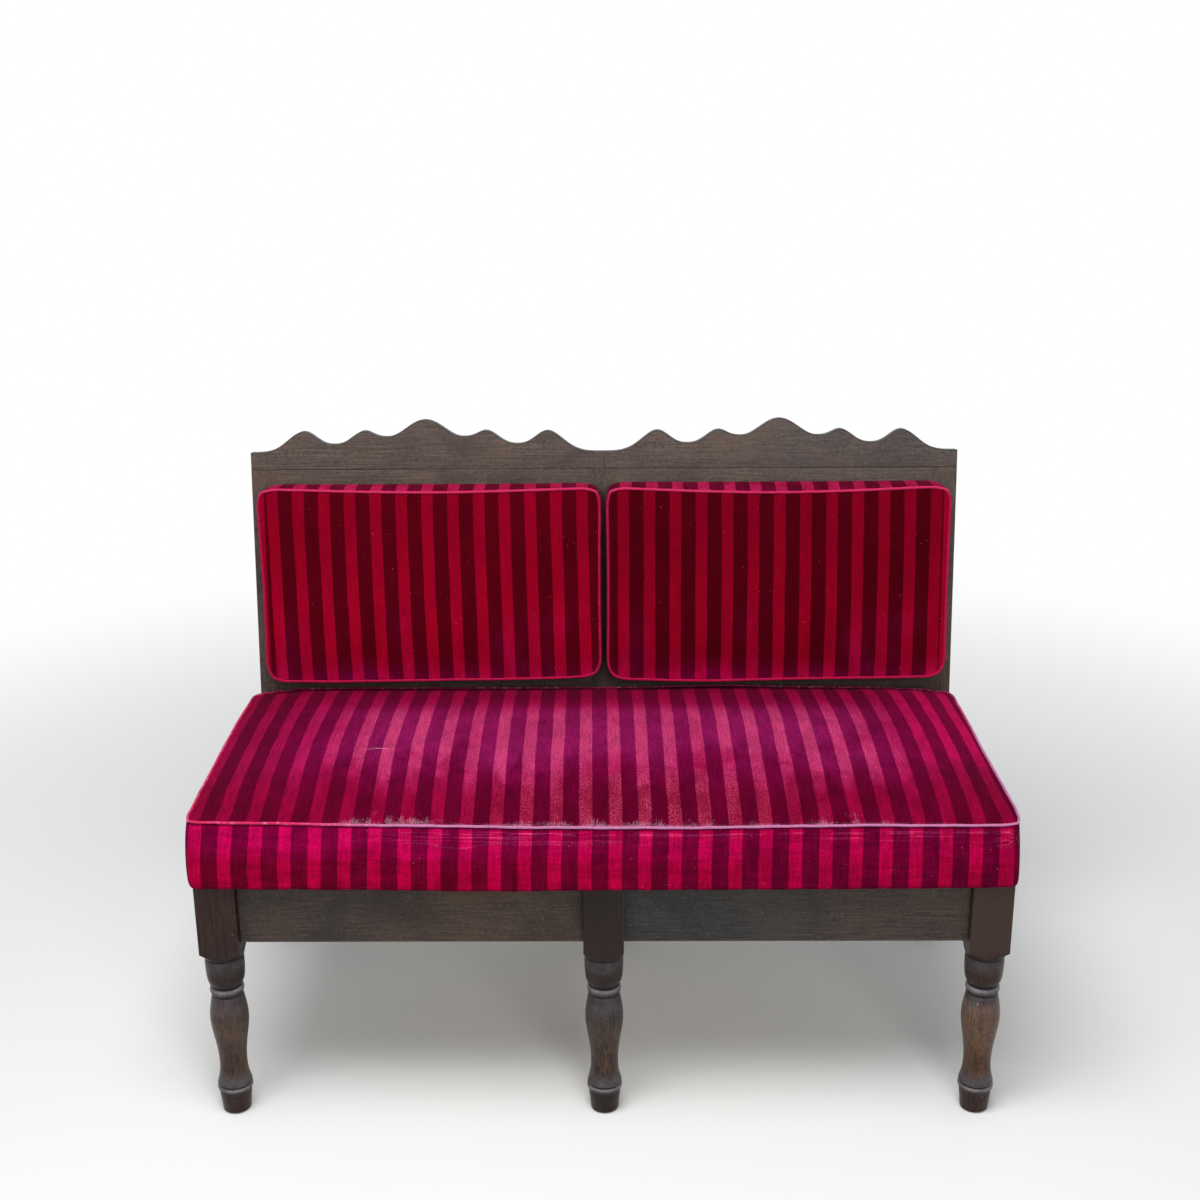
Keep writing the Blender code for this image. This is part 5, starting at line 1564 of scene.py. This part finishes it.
class BENCH_OT_stage(bpy.types.Operator):
    """Lays a pale floor, sets soft lamps and the camera"""

    bl_idname = "bench.stage"
    bl_label = "Stage"

    def execute(self, context):
        scene = context.scene
        settings = scene.bench_stage
        scene.view_settings.view_transform = "Standard"
        self.floor(settings)
        self.sky(settings)
        soft_lamp("lamp_overhead", (-0.4, -1.1, 3.0), (0.0, -0.05, 0.4), 1.9, 1.5, settings.lamp)
        soft_lamp("lamp_front", (1.0, -3.2, 1.9), (0.0, 0.0, 0.40), 1.2, 1.0, settings.fill)
        self.camera(scene)
        return {"FINISHED"}

    def floor(self, settings):
        clear_selection()
        bpy.ops.mesh.primitive_circle_add(vertices=96, radius=60.0, fill_type="NGON", location=(0.0, 0.0, -0.0002))
        floor = started("floor", self.floor_finish(settings))
        settle(floor)

    def floor_finish(self, settings):
        pale = Finish("pale_floor")
        x, y, _ = pale.split(pale.place)
        far = pale.math("SQRT", x * x + y * y)
        colour = tuple(settings.floor)
        tone = pale.mix(pale.noise(2.0, 2.0, 0.5).step(0.3, 0.7, 0.0, 0.15), colour, tinted(colour, 0.96))
        pale.set(Base_Color=tone, Roughness=0.9, Specular_IOR_Level=0.1)
        white = pale.value("Emission", {"Color": (1.0, 1.0, 1.0, 1.0), "Strength": 1.0})
        share = far.step(0.9, 2.6) * seen_directly(pale.tree)
        joined = pale.node("MixShader", {0: share, 1: pale.shader.outputs[0], 2: white})
        pale.tree.links.new(joined.outputs[0], pale.tree.nodes["Material Output"].inputs["Surface"])
        return pale.material

    def sky(self, settings):
        world = bpy.data.worlds.new("studio")
        bpy.context.scene.world = world
        world.use_nodes = True
        tree = world.node_tree
        light = tree.nodes["Background"]
        light.inputs["Color"].default_value = (0.94, 0.97, 1.0, 1.0)
        light.inputs["Strength"].default_value = settings.sky
        white = tree.nodes.new("ShaderNodeBackground")
        white.inputs["Color"].default_value = (1.0, 1.0, 1.0, 1.0)
        white.inputs["Strength"].default_value = 1.0
        joined = tree.nodes.new("ShaderNodeMixShader")
        tree.links.new(seen_directly(tree), joined.inputs[0])
        tree.links.new(light.outputs[0], joined.inputs[1])
        tree.links.new(white.outputs[0], joined.inputs[2])
        tree.links.new(joined.outputs[0], tree.nodes["World Output"].inputs["Surface"])

    def camera(self, scene):
        lens = bpy.data.cameras.new("camera")
        lens.lens = 50.0
        lens.sensor_width = 36.0
        lens.clip_end = 200.0
        eye = bpy.data.objects.new("camera", lens)
        down, aside, roll = math.radians(18.628113), math.radians(-0.559001), math.radians(0.402746)
        ahead = Vector((math.sin(aside) * math.cos(down), math.cos(aside) * math.cos(down), -math.sin(down)))
        level = Vector((math.cos(aside), -math.sin(aside), 0.0))
        below = ahead.cross(level)
        right = level * math.cos(roll) + below * math.sin(roll)
        under = below * math.cos(roll) - level * math.sin(roll)
        turn = Matrix((right, -under, -ahead)).transposed()
        eye.matrix_world = Matrix.Translation((0.0185052, -2.3478955, 1.4891227)) @ turn.to_4x4()
        scene.collection.objects.link(eye)
        scene.camera = eye


# ---------------------------------------------------------------- panel


OPERATORS = (
    BENCH_OT_front_legs,
    BENCH_OT_rear_posts,
    BENCH_OT_aprons,
    BENCH_OT_back_rails,
    BENCH_OT_crest_board,
    BENCH_OT_seat_cushion,
    BENCH_OT_back_pads,
    BENCH_OT_screws,
    BENCH_OT_inner_parts,
    BENCH_OT_stage,
)
GROUPS = {
    "bench_frame": BenchFrameSizes,
    "bench_cushions": BenchCushionSizes,
    "bench_colours": BenchColours,
    "bench_stage": BenchStageSettings,
}


class BENCH_PT_panel(bpy.types.Panel):
    """Sizes, colours and the steps that make the bench"""

    bl_idname = "BENCH_PT_panel"
    bl_label = "Upholstered bench"
    bl_space_type = "VIEW_3D"
    bl_region_type = "UI"
    bl_category = "Bench"

    def draw(self, context):
        for name, group in GROUPS.items():
            box = self.layout.box()
            for key in group.__annotations__:
                box.prop(getattr(context.scene, name), key)
        for step in OPERATORS:
            self.layout.operator(step.bl_idname)


def register():
    for group in GROUPS.values():
        bpy.utils.register_class(group)
    for step in OPERATORS:
        bpy.utils.register_class(step)
    bpy.utils.register_class(BENCH_PT_panel)
    for name, group in GROUPS.items():
        setattr(bpy.types.Scene, name, bpy.props.PointerProperty(type=group))


def unregister():
    for name in GROUPS:
        delattr(bpy.types.Scene, name)
    bpy.utils.unregister_class(BENCH_PT_panel)
    for step in reversed(OPERATORS):
        bpy.utils.unregister_class(step)
    for group in GROUPS.values():
        bpy.utils.unregister_class(group)


def main():
    register()
    bpy.ops.bench.front_legs()
    bpy.ops.bench.rear_posts()
    bpy.ops.bench.aprons()
    bpy.ops.bench.back_rails()
    bpy.ops.bench.crest_board()
    bpy.ops.bench.seat_cushion()
    bpy.ops.bench.back_pads()
    bpy.ops.bench.screws()
    bpy.ops.bench.inner_parts()
    bpy.ops.bench.stage()
    clear_selection()


if __name__ == "__main__":
    main()
